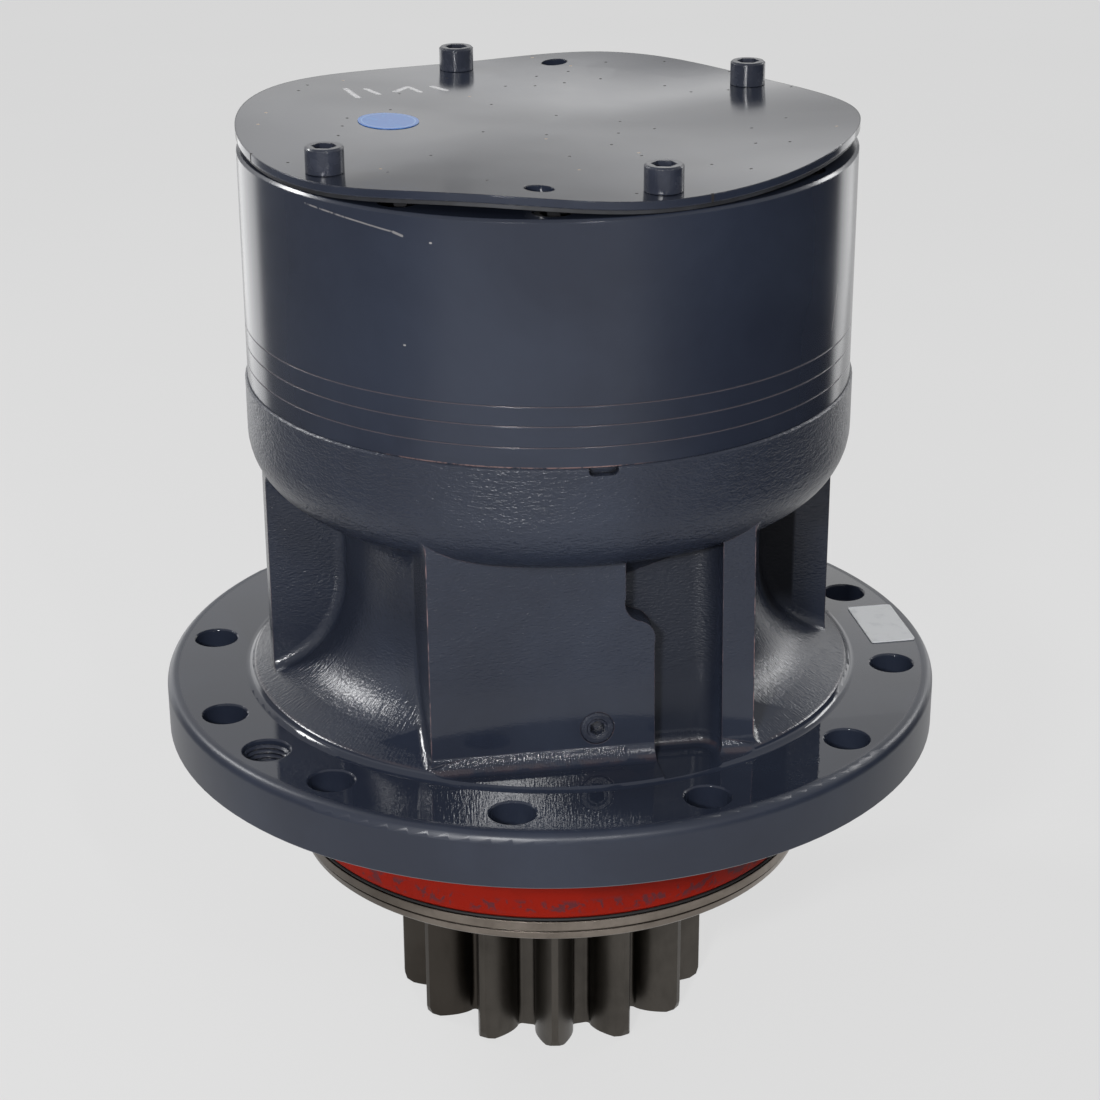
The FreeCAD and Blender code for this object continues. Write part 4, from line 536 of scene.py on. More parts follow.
outward = vector_calc(tree, "DOT_PRODUCT", here["Position"], PAD_OUTWARD)
sideways = vector_calc(tree, "DOT_PRODUCT", here["Position"], PAD_SIDEWAYS)
pad_face = raised(tree, PAD_FACE_AT_TOP + PAD_LEAN * PAD_TOP_Z, here["Height"], -PAD_LEAN)
behind_face = calc(tree, "SUBTRACT", pad_face, outward)
print("pad looks along:", [round(v, 3) for v in PAD_OUTWARD])

# %% Rubbed edges of the pad, partly a painted highlight
LEFT_EDGE = (PAD_LEFT - 0.001, PAD_LEFT + 0.0004, 0.0002)
RIGHT_EDGE = (PAD_RIGHT - 0.0004, PAD_RIGHT + 0.001, 0.0002)
RUBBED_AND_LIT_HEIGHTS = (0.045, 0.166, 0.004)

# The pale lines on the pad's upright edges are worn paint and a painted highlight.
at_face = fade(tree, behind_face, 0.0012, 0.0006)
at_left = band(tree, sideways, *LEFT_EDGE)
at_right = band(tree, sideways, *RIGHT_EDGE)
pad_edge_wear_and_highlight = product(tree, strongest(tree, at_left, at_right), at_face,
                    fade(tree, grain(tree, 110.0, 4.0), 0.38, 0.62),
                    band(tree, here["Height"], *RUBBED_AND_LIT_HEIGHTS))
painted = tinted(tree, painted, pad_edge_wear_and_highlight, 0.75, CHIP)
print("edges rubbed from", RUBBED_AND_LIT_HEIGHTS[0], "to", RUBBED_AND_LIT_HEIGHTS[1])

# %% [markdown]
# ### Painted shade
#
# Shade is painted into the colour: in hollow corners of the cast skin, in the pad's
# pocket and beside the right rib, where a shadow falls. It darkens the paint and takes its
# gloss away, so its mask is used for the colour here and for the gloss further down.

# %% Painted shade on the casting
# The colour of painted shade in recesses and hollow corners.
SHADE_DARK = colour(13, 13, 15)
POCKET_LEFT = 0.018
POCKET_RIGHT = 0.074
POCKET_DEPTH = (0.004, 0.012)
POCKET_BACK = (0.1, 0.11)
RIB_SIDEWAYS = (0.11, 0.1495, 0.0015)
RIB_OUTWARD = (0.0, 0.04, 0.01)
RIB_HEIGHTS = (0.062, 0.19, 0.01)
POCKET_SHADE = 0.42
RIB_SHADE = 0.85

# Painted shade in the pad's pocket, and a painted shadow beside the right rib.
in_pocket = product(tree, fade(tree, behind_face, *POCKET_DEPTH),
                    band(tree, sideways, POCKET_LEFT, POCKET_RIGHT, 0.0005),
                    fade(tree, outward, *POCKET_BACK))
by_rib = product(tree, band(tree, sideways, *RIB_SIDEWAYS),
                 band(tree, outward, *RIB_OUTWARD),
                 band(tree, here["Height"], *RIB_HEIGHTS))
recess_shade = strongest(tree, product(tree, in_pocket, POCKET_SHADE),
                  product(tree, by_rib, RIB_SHADE))
# Hollow corners of the cast skin are darkened by ambient occlusion, as painted shade.
painted_shade = strongest(tree, product(tree, crevices, as_cast), recess_shade)
painted = blend(tree, painted_shade, painted, SHADE_DARK)
print("pocket from", POCKET_LEFT, "to", POCKET_RIGHT)

# %% [markdown]
# ### Primer on the spigot
#
# The spigot goes into the machine's frame and keeps its bare primer. Hands leave darker
# smears on it, and a speckled line shows where the slate paint drifted past the masking.

# %% Primer
PRIMER = colour(142, 24, 7)
PRIMER_DARK = colour(112, 24, 12)
SLATE_ON_PRIMER = colour(66, 46, 54)
OVERSPRAY_HEIGHTS = (-0.0605, -0.0525, 0.002)

primed = tinted(tree, PRIMER, smudges(tree, 24.0, 0.45, 0.8), 0.6, PRIMER_DARK)
overspray = product(tree, band(tree, here["Height"], *OVERSPRAY_HEIGHTS),
                    smudges(tree, 150.0, 0.5, 0.58))
primed = tinted(tree, primed, overspray, 0.7, SLATE_ON_PRIMER)
both = blend(tree, below, painted, primed)
print("overspray between", OVERSPRAY_HEIGHTS[0], "and", OVERSPRAY_HEIGHTS[1])

# %% [markdown]
# ### Cast skin
#
# Sand grains leave pebbles, and the hot iron leaves flatter folds on the bowl. The flare
# above the flange is smoother, with faint streaks that run down it. All of this is bump,
# because it is only a few tenths of a millimetre high and hardly touches the outline.

# %% Skin of bowl and flare
BOWL_STARTS = (0.15, 0.175)
FLARE_ENDS = (0.09, 0.06)
SMOOTHER_FLARE = 0.6

pebbles = grain(tree, 430.0, 2.0, Stretch=(1.0, 1.0, 2.0))
folds = grain(tree, 120.0, 3.0, Stretch=(1.0, 1.0, 3.0))
on_bowl = fade(tree, here["Height"], *BOWL_STARTS)
on_flare = fade(tree, here["Height"], *FLARE_ENDS)
skin = raised(tree, pebbles, product(tree, folds, on_bowl), 1.2)
skin = scaled(tree, skin, on_flare, -SMOOTHER_FLARE)
streak_place = node(tree, "ShaderNodeCombineXYZ", {"X": product(tree, here["Angle"], 2.6),
                                                   "Y": product(tree, here["Radius"], 130.0),
                                                   "Z": product(tree, here["Height"], 130.0)})
streaks = node(tree, "ShaderNodeTexNoise",
               {"Vector": streak_place.outputs[0], "Scale": 1.0, "Detail": 2.0})
skin = raised(tree, skin, product(tree, streaks.outputs["Fac"], on_flare), 0.5)
print("bowl from:", BOWL_STARTS, "flare until:", FLARE_ENDS)

# %% [markdown]
# ### Parting line and foot of the pad
#
# Where the two halves of the mould met, a faint raised line crosses the pad and its pocket.
# The foot of the pad is nearly smooth above its fillet, and rough again in the fillet, left
# of the pocket.

# %% Skin of the front pad
PARTING_LINE = ((-0.0925, 0.1015), (-0.0793, 0.1069), (-0.0411, 0.1229), (-0.0214, 0.132))
POCKET_PARTING = ((0.038, 0.0785), (0.0722, 0.0901))
PARTING_WIDTH = 0.0016
PAD_FRONT = (0.12, 0.124)
FOOT_ENDS = (0.1, 0.06)
FILLET_ENDS = (0.041, 0.0435)
FILLET_HEIGHTS = (0.0352, 0.0425, 0.0008)
FILLET_SIDEWAYS = (PAD_LEFT - 0.001, POCKET_LEFT - 0.0005, 0.001)

on_pad = fade(tree, outward, *PAD_FRONT)
pad_plane = node(tree, "ShaderNodeCombineXYZ", {"X": sideways, "Y": here["Height"]})
parting_lines = bent_line(PARTING_LINE) + [POCKET_PARTING]
parting = strokes(tree, pad_plane.outputs[0], parting_lines, PARTING_WIDTH)
skin = raised(tree, skin, product(tree, parting, on_pad), 0.14)
pad_foot = product(tree, fade(tree, here["Height"], *FOOT_ENDS), on_pad)
above_fillet = product(tree, pad_foot, fade(tree, here["Height"], *FILLET_ENDS))
skin = scaled(tree, skin, above_fillet, -0.9)
on_fillet = product(tree, pad_foot, band(tree, here["Height"], *FILLET_HEIGHTS),
                    band(tree, sideways, *FILLET_SIDEWAYS))
skin = scaled(tree, skin, on_fillet, 1.5)
skin = product(tree, skin, as_cast)
print("parting line:", len(parting_lines), "strokes of", PARTING_WIDTH, "m")

# %% [markdown]
# ### Gloss of the casting
#
# Roughness is low where the paint is smooth and mirrors the room. It rises on the cast
# skin, more on the bowl, on the flange's turned side, in the painted shade and in dry
# primer, and it falls on the foot of the pad and on the flare. The painted shade and
# primer also have less sheen.
# Under it all lies the orange peel of sprayed paint.

# %% Gloss and skin of the casting
ROUGH_SMOOTH = 0.1
ROUGH_SIDE = 0.36
ROUGHER_CAST = 0.12
ROUGHER_BOWL = 0.08
ROUGHER_IN_SHADE = 0.4
ROUGHER_PRIMER = 0.48
SMOOTHER_FOOT = 0.15
SMOOTHER_ON_FLARE = 0.035
SHEEN = 0.5
SHEEN_LOST = 0.38

rough = raised(tree, ROUGH_SMOOTH, clouds, 0.04)
rough = raised(tree, rough, as_cast, raised(tree, ROUGHER_CAST, on_bowl, ROUGHER_BOWL))
rough = raised(tree, rough, pad_foot, -SMOOTHER_FOOT)
rough = raised(tree, rough, product(tree, on_flare, as_cast), -SMOOTHER_ON_FLARE)
flange_side = fade(tree, here["Radius"], RIM_START, RIM_START + 0.0026)
rough = strongest(tree, rough, product(tree, flange_side, ROUGH_SIDE))
# Rougher and with less sheen where shade is painted.
rough = raised(tree, rough, painted_shade, ROUGHER_IN_SHADE)
rough = raised(tree, rough, below, ROUGHER_PRIMER)
sheen = raised(tree, SHEEN, strongest(tree, below, painted_shade), -SHEEN_LOST)
peeled = bump(tree, grain(tree, 600.0, 1.0), 0.00001, Normal=edges["Normal"])
connect(tree, shader, Base_Color=both, Roughness=rough, Specular_IOR_Level=sheen,
        Normal=bump(tree, skin, 0.0005, Normal=peeled))
print("casting paint:", len(tree.nodes), "nodes")

# %% [markdown]
# ## Slate paint on the turned ring gear
#
# The ring gear is turned smooth before painting, so its paint mirrors the room. One long
# scratch with a bright chip runs along its upper left, and a few chips of primer show at
# the joint. Its wall is unrolled into a flat sheet, way round against height, and each
# mark on it is a stroke between two places.

# %% Scratches and chips of the ring
DEGREE = RING_RADIUS * math.pi / 180
SCRATCH = ((-130.8, 0.3507), (-124.5, 0.3494), (-117.8, 0.3474), (-111.2, 0.3449),
           (-109.5, 0.3434))
SIDE_SCRATCH = ((-19.3, 0.2901), (-21.5, 0.266))
WHITE_DOTS = ((-109.7, 0.2843), (-104.4, 0.3413))
DOT_ANGLE = 0.2
BRIGHT_MARK = colour(176, 172, 170)


def on_ring(angle, height):
    """A place on the ring's wall, unrolled: way round and height, both in metres."""
    return (angle * DEGREE, height)


ring_paint, tree, shader = finish("ring_paint", IOR=PAINT_IOR)
here = use(tree, place_group)
clouds = smudges(tree, 7.0, 0.35, 0.75)
painted = blend(tree, clouds, SLATE, SLATE_LIGHT)
unrolled = node(tree, "ShaderNodeCombineXYZ", {"X": product(tree, here["Angle"], DEGREE),
                                               "Y": here["Height"]}).outputs[0]
line = bent_line([on_ring(*place) for place in SCRATCH])
scratch = product(tree, strokes(tree, unrolled, line, 0.0006),
                  fade(tree, grain(tree, 160.0, 4.0), 0.36, 0.5))
side_line = bent_line([on_ring(*place) for place in SIDE_SCRATCH])
side_scratch = strokes(tree, unrolled, side_line, 0.0005)
chip = strokes(tree, unrolled, line[-1:], 0.0009)
short = [(on_ring(*dot), on_ring(dot[0] + DOT_ANGLE, dot[1])) for dot in WHITE_DOTS]
dots = strokes(tree, unrolled, short, 0.0007)
marks = strongest(tree, product(tree, scratch, 0.4), product(tree, chip, 0.45),
                  product(tree, side_scratch, 0.45), product(tree, dots, 0.7))
painted = blend(tree, marks, painted, BRIGHT_MARK)
print("strokes on the ring:", len(line) + len(side_line) + len(short))

# %% [markdown]
# ### Scribed lines and the joint
#
# Three fine lines are cut round the ring gear, and paler primer shows in them. The paint
# ends in a brittle edge at the joint, so it is chipped there in front.

# %% Ring paint
SCRIBED_LINES = (0.0115, 0.0233, 0.0343)
HALF_LINE = 0.0003
FRONT_ANGLES = (-112.0, -70.0, 6.0)
JOINT_EDGE = (JOINT_Z + 0.0009, JOINT_Z + 0.0003)
LINE_TINT = colour(104, 94, 100)
JOINT_CHIP = colour(128, 104, 102)
ROUGH_RING = 0.17

scribed = 0.0
for step in SCRIBED_LINES:
    line_z = JOINT_Z + step
    scribed = strongest(tree, scribed, band(tree, here["Height"], line_z - HALF_LINE,
                                            line_z + HALF_LINE, 0.0001))
painted = tinted(tree, painted, scribed, 0.55, LINE_TINT)
near_joint = fade(tree, here["Height"], *JOINT_EDGE)
in_front = band(tree, here["Angle"], *FRONT_ANGLES)
flakes = fade(tree, grain(tree, 220.0, 4.0), 0.34, 0.52)
painted = blend(tree, product(tree, near_joint, in_front, flakes), painted, JOINT_CHIP)
edges = use(tree, edge_group, Radius=0.0009, Patchiness=120.0)
connect(tree, shader, Base_Color=painted, Roughness=raised(tree, ROUGH_RING, clouds, 0.05),
        Normal=bump(tree, grain(tree, 420.0, 1.0), 0.000006, Normal=edges["Normal"]))
print("ring paint:", len(tree.nodes), "nodes")

# %% [markdown]
# ## The bowed cover plate
#
# A thin plate keeps dirt out until the motor is fitted. It is painted like the rest and has
# lain in a workshop: specks of dust and rust sit on it, and a few pale chalk strokes.

# %% Specks and chalk on the cover
CHALK = (((-0.1274, 0.0653), (-0.1167, 0.0449)), ((-0.1161, 0.07), (-0.1066, 0.0584)),
         ((-0.098, 0.0687), (-0.093, 0.0843)), ((-0.0915, 0.0831), (-0.0838, 0.0725)),
         ((-0.0789, 0.0896), (-0.0692, 0.0807)))
CHALK_WIDTH = 0.0024
CHALK_WHITE = colour(236, 236, 238)
DARK_SPECK = colour(24, 20, 18)
RUST_SPECK = colour(150, 120, 80)
PALE_EDGE = colour(150, 150, 152)

cover_paint, tree, shader = finish("cover_paint", IOR=PAINT_IOR)
here = use(tree, place_group)
clouds = smudges(tree, 11.0, 0.35, 0.8)
painted = blend(tree, clouds, SLATE, SLATE_LIGHT)
flat_place = node(tree, "ShaderNodeCombineXYZ", {"X": here["X"], "Y": here["Y"]}).outputs[0]
specks = use(tree, specks_group, Point=flat_place, Scale=52.0, Size=0.06, Share=0.22)["Mask"]
painted = blend(tree, specks, painted, DARK_SPECK)
rust = use(tree, specks_group, Point=flat_place, Scale=37.0, Size=0.045, Share=0.1)["Mask"]
painted = blend(tree, rust, painted, RUST_SPECK)
chalk = product(tree, strokes(tree, flat_place, CHALK, CHALK_WIDTH),
                fade(tree, grain(tree, 500.0, 2.0), 0.22, 0.42))
painted = blend(tree, chalk, painted, CHALK_WHITE)
edges = use(tree, edge_group, Radius=0.0012, Patchiness=140.0)
painted = tinted(tree, painted, edges["Wear"], 0.25, PALE_EDGE)
print("chalk strokes:", len(CHALK))

# %% [markdown]
# ### The plate's mirror image
#
# The thin plate isn't quite flat, and a mirror shows that long before an outline does. A
# slight dish, deeper in the back half, tips the far side's mirror image upwards. Slow waves
# and orange peel break it up. A height that grows with the square of Y tilts evenly.

# %% Cover paint
COVER_DISH = 0.1
COVER_DISH_BACK = 0.2
ROUGH_COVER = 0.13
ROUGH_SPECKS = 0.7

deep = raised(tree, COVER_DISH, fade(tree, here["Y"], -0.01, 0.01),
              COVER_DISH_BACK - COVER_DISH)
dish = product(tree, here["Y"], here["Y"], deep)
dished = bump(tree, dish, 1.0, Normal=edges["Normal"])
waved = bump(tree, grain(tree, 12.0, 1.0), 0.0004, Normal=dished)
rough = raised(tree, ROUGH_COVER, clouds, 0.05)
rough = strongest(tree, rough,
                  product(tree, strongest(tree, specks, chalk), ROUGH_SPECKS))
connect(tree, shader, Base_Color=painted, Roughness=rough,
        Normal=bump(tree, grain(tree, 500.0, 1.0), 0.000008, Normal=waved))
print("cover paint:", len(tree.nodes), "nodes")

# %% [markdown]
# ## Painted screws and plug
#
# The screws were painted in place. Their rims rub bright where a key was used. Noise that
# hardly changes with height makes upright ribs, which do for the knurl round their heads.

# %% Screw paint
SCREW_GREY = colour(40, 44, 56)
SCREW_LIGHT = colour(54, 58, 70)
RUBBED_STEEL = colour(150, 148, 144)
ROUGH_SCREW = 0.22

screw_paint, tree, shader = finish("screw_paint", IOR=PAINT_IOR)
clouds = smudges(tree, 60.0, 0.4, 0.75)
painted = blend(tree, clouds, SCREW_GREY, SCREW_LIGHT)
edges = use(tree, edge_group, Radius=0.0008, Patchiness=300.0)
painted = tinted(tree, painted, edges["Wear"], 0.5, RUBBED_STEEL)
knurl = grain(tree, 900.0, 1.0, Stretch=(1.0, 1.0, 0.02))
connect(tree, shader, Base_Color=painted, Roughness=raised(tree, ROUGH_SCREW, clouds, 0.12),
        Normal=bump(tree, knurl, 0.0001, Normal=edges["Normal"]))
print("screw paint:", len(tree.nodes), "nodes")

# %% [markdown]
# ## Bare steel, oiled
#
# The seal cover and the pinion are bare steel under a brown film of oil. The pinion has
# fine lines along its teeth; the turned cover has rings. Oil gathers in patches, which
# changes both the colour and the gloss. Hollow corners and the left side are darkened in
# the colour as painted shade.

# %% Oiled steel
# The colour of the painted shade on the left side of the steel.
LEFT_SHADE = colour(52, 47, 42)
LEFT_SHADE_STARTS = (-104.0, -128.0)
LEFT_SHADE_ENDS = (-178.0, -160.0)


def oiled_steel(name, light, dark, rough, pitch, stretch, depth):
    material, tree, shader = finish(name, Metallic=1.0)
    here = use(tree, place_group)
    oil = smudges(tree, 16.0, 0.35, 0.8)
    streaks = grain(tree, 160.0, 3.0, Stretch=stretch)
    edges = use(tree, edge_group, Radius=0.0009, Patchiness=150.0, Whole=0.3)
    # Painted shade: hollow corners, found by ambient occlusion, and the left side are
    # darkened.
    hollow = use(tree, crevice_group, Reach=0.012)["Mask"]
    shaded_side = product(tree, fade(tree, here["Angle"], *LEFT_SHADE_STARTS),
                        fade(tree, here["Angle"], *LEFT_SHADE_ENDS))
    tone = blend(tree, oil, light, dark)
    tone = tinted(tree, tone, fade(tree, streaks, 0.45, 0.75), 0.35, dark)
    tone = tinted(tree, tone, edges["Wear"], 0.3, light)
    tone = tinted(tree, tone, hollow, 0.6, SHADE_DARK)
    tone = tinted(tree, tone, shaded_side, 0.6, LEFT_SHADE)
    rings = use(tree, turning_group, Pitch=pitch)["Height"]
    marks = raised(tree, rings, streaks, 0.6)
    connect(tree, shader, Base_Color=tone, Roughness=raised(tree, rough, oil, -0.08),
            Normal=bump(tree, marks, depth, Normal=edges["Normal"]))
    return material


seal_cover_steel = oiled_steel("seal_cover_steel", colour(142, 133, 124),
                               colour(104, 96, 88), 0.38, 0.0007, (1.0, 1.0, 1.0), 0.000012)
pinion_steel = oiled_steel("pinion_steel", colour(88, 84, 79),
                           colour(66, 63, 59), 0.36, 0.004, (1.0, 1.0, 0.3), 0.000004)
print("oiled steels:", seal_cover_steel.name, "and", pinion_steel.name)

# %% [markdown]
# ## Inner parts
#
# Gears, bearings, pins and seals lie inside, machined and clean, and show only when the
# housing is taken off. One simple finish with faint patches and lines does for all of them,
# with a light tone, a dark tone, a roughness and the share of metal for each.

# %% Inner finishes
INNER_TONES = {
    "gear_steel": ((186, 186, 188), (150, 150, 152), 0.28, 1.0),
    "bearing_steel": ((206, 206, 208), (182, 182, 184), 0.18, 1.0),
    "black_steel": ((52, 52, 54), (30, 30, 32), 0.4, 1.0),
    "carrier_iron": ((130, 130, 132), (98, 98, 100), 0.45, 1.0),
    "brass": ((196, 160, 92), (150, 116, 62), 0.3, 1.0),
    "rubber": ((34, 34, 35), (20, 20, 21), 0.6, 0.0),
    "gasket": ((46, 48, 54), (28, 29, 33), 0.45, 0.0),
}


def inner_finish(name, light, dark, rough, metallic):
    material, tree, shader = finish(name, Metallic=metallic)
    patches = smudges(tree, 40.0, 0.35, 0.75)
    lines = grain(tree, 240.0, 3.0, Stretch=(1.0, 1.0, 0.2))
    edges = use(tree, edge_group, Radius=0.0006, Patchiness=200.0)
    tone = blend(tree, patches, colour(*dark), colour(*light))
    tone = tinted(tree, tone, edges["Wear"], 0.4, colour(*light))
    connect(tree, shader, Base_Color=tone, Roughness=raised(tree, rough, patches, 0.12),
            Normal=bump(tree, lines, 0.00001, Normal=edges["Normal"]))
    return material


slot_finish = {name: inner_finish(name, *tones) for name, tones in INNER_TONES.items()}
slot_finish["oiled_steel"] = seal_cover_steel
slot_finish["grey_paint"] = screw_paint
print("finishes by slot:", sorted(slot_finish))

# %% [markdown]
# ## Sticker and label
#
# A round blue inspection sticker lies on the cover and a blank white label on the flange.
# Both are bare film with pale scuffs. The sticker has a paler line just inside its edge.
# The label has none, so the radius of its line lies beyond the label.

# %% Film finishes
LINE_RADII = (0.86, 0.9, 0.02)


def film(name, base, scuff, rough, middle, edge_radius):
    material, tree, shader = finish(name, IOR=PAINT_IOR)
    here = use(tree, place_group)
    scuffs = smudges(tree, 120.0, 0.5, 0.72)
    tone = tinted(tree, base, scuffs, 0.5, scuff)
    distance = flat_length(tree, calc(tree, "SUBTRACT", here["X"], middle.x),
                           calc(tree, "SUBTRACT", here["Y"], middle.y))
    pale_line = band(tree, distance, *(edge_radius * share for share in LINE_RADII))
    tone = tinted(tree, tone, pale_line, 0.6, scuff)
    connect(tree, shader, Base_Color=tone, Roughness=raised(tree, rough, scuffs, 0.15),
            Normal=bump(tree, grain(tree, 90.0, 2.0), 0.00008))
    return material


# %% Sticker and label
BEYOND_LABEL = 0.2

sticker_low, sticker_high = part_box("inspection_sticker")
sticker_film = film("sticker_film", colour(72, 122, 196), colour(150, 190, 232), 0.28,
                    (sticker_low + sticker_high) / 2, (sticker_high.x - sticker_low.x) / 2)
label_low, label_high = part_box("blank_label")
label_film = film("label_film", colour(226, 228, 230), colour(206, 208, 212), 0.45,
                  (label_low + label_high) / 2, BEYOND_LABEL)
print("sticker across:", round(sticker_high.x - sticker_low.x, 4))

# %% [markdown]
# ## Dressing the solids
#
# Each solid takes the finish of its slot in the record, and the few that show most take one
# of their own.

# %% Assign the finishes
own_finish = {"casing": casting_paint, "ring_gear": ring_paint, "cover_plate": cover_paint,
              "cover_screws": screw_paint, "drain_plug": screw_paint,
              "seal_cover": seal_cover_steel, "drive_shaft": pinion_steel,
              "inspection_sticker": sticker_film, "blank_label": label_film}
slot_of = {part["node"]: part["material_slot"] for part in frame["record"]["subparts"]}
for name, solid in frame["nodes"].items():
    solid.data.materials.clear()
    solid.data.materials.append(own_finish.get(name) or slot_finish[slot_of[name]])
print("dressed", len(frame["nodes"]), "solids")

# %% [markdown]
# ## Threads in the jacking holes
#
# Two holes of the flange are tapped. One turn of a tooth's outline, carried round and up by
# the screw modifier, gives the thread; it lines the bore and ends below its mouth. The
# outline is a plane whose four corners are moved to the root and the crest.

# %% Threads
JACKING_HOLES = ((-0.148492, -0.148492), (0.148492, 0.148492))
THREAD_PITCH = 0.003
THREAD_CREST = 0.0119
THREAD_ROOT = 0.01345
THREAD_LOW = 0.0006
THREAD_TURNS = 10
THREAD_STEPS = 48
HALF_TOOTH = 0.49
CREST_SHARE = 0.12


def thread(name, place):
    bpy.ops.object.select_all(action="DESELECT")
    bpy.ops.mesh.primitive_plane_add(size=1.0, location=(0.0, 0.0, 0.0))
    coil = bpy.context.object
    coil.name = name
    half = THREAD_PITCH * HALF_TOOTH
    crest = half * CREST_SHARE
    outline = ((THREAD_ROOT, -half), (THREAD_CREST, -crest),
               (THREAD_CREST, crest), (THREAD_ROOT, half))
    for corner, (reach, up) in zip((0, 1, 3, 2), outline):
        coil.data.vertices[corner].co = (reach, 0.0, up)
    screw = coil.modifiers.new("turns", "SCREW")
    screw.axis = "Z"
    screw.screw_offset = THREAD_PITCH
    screw.iterations = THREAD_TURNS - 1
    screw.steps = screw.render_steps = THREAD_STEPS
    screw.use_normal_calculate = True
    bpy.ops.object.modifier_apply(modifier=screw.name)
    bpy.ops.object.mode_set(mode="EDIT")
    bpy.ops.mesh.select_all(action="SELECT")
    bpy.ops.transform.translate(value=(place[0], place[1], THREAD_LOW + THREAD_PITCH))
    bpy.ops.mesh.normals_make_consistent(inside=False)
    bpy.ops.object.mode_set(mode="OBJECT")
    bpy.ops.object.shade_smooth_by_angle(angle=math.radians(40))
    coil.data.materials.append(screw_paint)
    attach(coil, "housing")
    return coil


threads = [thread("jacking_thread_" + side, place)
           for side, place in zip(("front", "back"), JACKING_HOLES)]
print("threads:", [(coil.name, len(coil.data.polygons)) for coil in threads])

# %% [markdown]
# ## Floor and light
#
# The floor is a pale sheet. It keeps the object's shadow, and a share of its own even glow
# keeps it from growing darker further off. The glow only reaches the camera and mirrors, so
# it doesn't light the object.

# %% Floor
FLOOR_Z = pinion_low.z
FLOOR_SIZE = 30.0
PALE = 0.745
UNEVEN = 0.985
FLOOR_GLOW = 1.04
GLOW_SHARE = 0.84


def grey(level):
    return (level, level, level, 1.0)


def in_mirror(tree, rays):
    """1 for what a mirror or glass shows."""
    return strongest(tree, rays["Is Glossy Ray"], rays["Is Transmission Ray"])


floor_paint, tree, shader = finish("floor_paint", Roughness=0.9, Specular_IOR_Level=0.0)
tone = blend(tree, grain(tree, 3.0, 2.0), grey(PALE), grey(PALE * UNEVEN))
rays = node(tree, "ShaderNodeLightPath").outputs
seen = strongest(tree, rays["Is Camera Ray"], in_mirror(tree, rays))
connect(tree, shader, Base_Color=tone)
even = node(tree, "ShaderNodeEmission", {"Color": tone, "Strength": FLOOR_GLOW})
surface = node(tree, "ShaderNodeMixShader",
               {0: product(tree, seen, GLOW_SHARE), 1: shader.outputs["BSDF"],
                2: even.outputs["Emission"]})
plug_in(tree, surface.outputs[0], tree.nodes["Material Output"].inputs["Surface"])
bpy.ops.object.select_all(action="DESELECT")
bpy.ops.mesh.primitive_plane_add(size=FLOOR_SIZE, location=(0.0, 0.0, FLOOR_Z))
floor = bpy.context.object
floor.name = "floor"
floor.data.materials.append(floor_paint)
print("floor at:", round(FLOOR_Z, 3))

# %% [markdown]
# ### The room
#
# The world has three jobs. What the camera sees of it is the floor's grey, so no horizon
# shows. What lights the object is a weak even light. What the paint mirrors is a room: dim
# near the floor, pale above, darker at the ceiling, with a bright window low at the back
# that the cover plate mirrors.

# %% World
ROOM_LIGHT = 0.24
NEAR_FLOOR = 0.38
WALL_RISE = 0.6
WALL_HEIGHT = (0.06, 0.25)
CEILING_DROP = 0.4
CEILING_HEIGHT = (0.5, 0.62)
WINDOW_HEIGHT = (0.27, 0.41, 0.05)
WINDOW_BACK = (0.3, 0.75)
WINDOW_RIGHT = (-0.2, -0.09)
WINDOW_LEFT_SHARE = 0.2

world = bpy.data.worlds.new("room")
bpy.context.scene.world = world
world.use_nodes = True
tree = world.node_tree
tree.nodes.clear()
rays = node(tree, "ShaderNodeLightPath").outputs
way = node(tree, "ShaderNodeTexCoord").outputs["Generated"]
toward = node(tree, "ShaderNodeSeparateXYZ", {"Vector": way}).outputs
window = product(tree, band(tree, toward["Z"], *WINDOW_HEIGHT),
                 fade(tree, toward["Y"], *WINDOW_BACK),
                 raised(tree, WINDOW_LEFT_SHARE, fade(tree, toward["X"], *WINDOW_RIGHT),
                        1 - WINDOW_LEFT_SHARE))
room = raised(tree, NEAR_FLOOR, fade(tree, toward["Z"], *WALL_HEIGHT), WALL_RISE)
room = raised(tree, room, window, 1.0)
room = raised(tree, room, fade(tree, toward["Z"], *CEILING_HEIGHT), -CEILING_DROP)
strength = raised(tree, ROOM_LIGHT, in_mirror(tree, rays),
                  calc(tree, "SUBTRACT", room, ROOM_LIGHT))
strength = calc(tree, "ADD", product(tree, strength, opposite(tree, rays["Is Camera Ray"])),
                product(tree, rays["Is Camera Ray"], PALE))
background = node(tree, "ShaderNodeBackground", {"Strength": strength, "Color": grey(1.0)})
node(tree, "ShaderNodeOutputWorld", {"Surface": background.outputs[0]})
print("room:", len(tree.nodes), "nodes, light", ROOM_LIGHT)

# %% [markdown]
# ### Lamps
#
# Two soft boxes stand behind the object, left and right, and give the bright patches on the
# flare. A small flash beside the camera, on its left, gives the sharp highlights and the
# sharp shadows. A narrow strip in front, on the right, is mirrored by the pad's foot and
# beside it. An area lamp shines along its own -Z axis, so that axis is turned to a target.

# %% Lamps
FLARE = (0.0, 0.0, 0.1)
PAD = (0.0, 0.0, 0.15)
FOOT_OF_PAD = (0.0, -0.16, 0.04)


def soft_box(name, place, target, size, power):
    data = bpy.data.lights.new(name, "AREA")
    data.shape = "RECTANGLE"
    data.size, data.size_y = size
    data.energy = power
    lamp = bpy.data.objects.new(name, data)
    bpy.context.scene.collection.objects.link(lamp)
    lamp.location = place
    aim = Vector(target) - Vector(place)
    lamp.rotation_euler = aim.to_track_quat("-Z", "Y").to_euler()
    print(name, "stands", round(aim.length, 2), "m from its target")


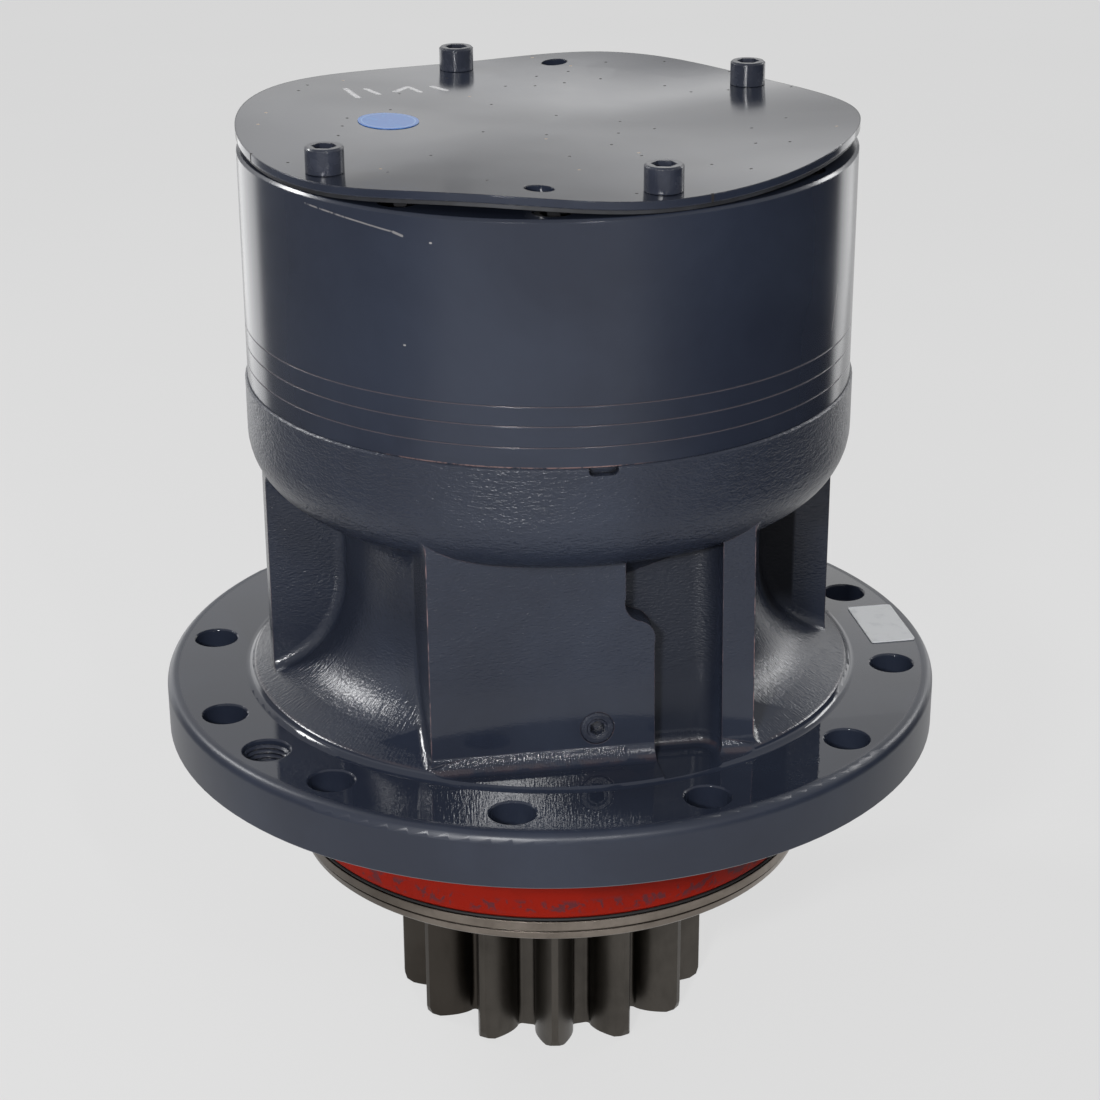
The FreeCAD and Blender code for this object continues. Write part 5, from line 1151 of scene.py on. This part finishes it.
soft_box("left_box", (-1.5, 0.48, 1.24), FLARE, (0.38, 0.38), 12.5)
soft_box("right_box", (1.3, 1.12, 0.95), FLARE, (0.35, 0.5), 5.0)
soft_box("front_flash", (-0.185, -1.43, 0.7), PAD, (0.16, 0.12), 13.5)
soft_box("front_strip", (0.692, -1.74, 1.27), FOOT_OF_PAD, (0.068, 0.5), 8.5)

# %% [markdown]
# ### Flags
#
# A turned ring looks round because its sides mirror something dark. Photographers stand
# black cards there, called flags. These two are planes beside the object that only the
# paint mirrors: they cast no shadow, and the camera doesn't see them.

# %% Flags
FLAG_TOP = 0.33
FLAG_BACK = 1.8
FLAG_SOFT = 0.12


def flag(name, x, back, dark_from, dark_until, front, dark):
    """Dark beside the object, bright at its back end, as pale as the floor in front."""
    cloth = bpy.data.materials.new(name + "_cloth")
    cloth.use_nodes = True
    tree = cloth.node_tree
    tree.nodes.clear()
    place = node(tree, "ShaderNodeNewGeometry").outputs["Position"]
    y = node(tree, "ShaderNodeSeparateXYZ", {"Vector": place}).outputs["Y"]
    glow = raised(tree, dark, fade(tree, y, dark_until, front), PALE - dark)
    glow = raised(tree, glow, fade(tree, y, dark_from, dark_from + FLAG_SOFT),
                  FLAG_BACK - dark)
    shine = node(tree, "ShaderNodeEmission", {"Strength": glow})
    node(tree, "ShaderNodeOutputMaterial", {"Surface": shine.outputs["Emission"]})
    low = FLOOR_Z + 0.001
    middle = (x, (back + front) / 2, (low + FLAG_TOP) / 2)
    bpy.ops.object.select_all(action="DESELECT")
    bpy.ops.mesh.primitive_plane_add(size=1.0, location=middle,
                                     rotation=(0.0, math.radians(90), 0.0))
    card = bpy.context.object
    card.name = name
    card.scale = (FLAG_TOP - low, back - front, 1.0)
    card.data.materials.append(cloth)
    card.visible_camera = False
    card.visible_diffuse = False
    card.visible_shadow = False
    card.visible_transmission = False
    print(name, "is", round(back - front, 2), "m long")


flag("right_flag", 0.8, 1.6, 0.66, -0.25, -1.5, 0.03)
flag("left_flag", -0.8, 1.3, 0.36, -0.6, -1.8, 0.22)

# %% [markdown]
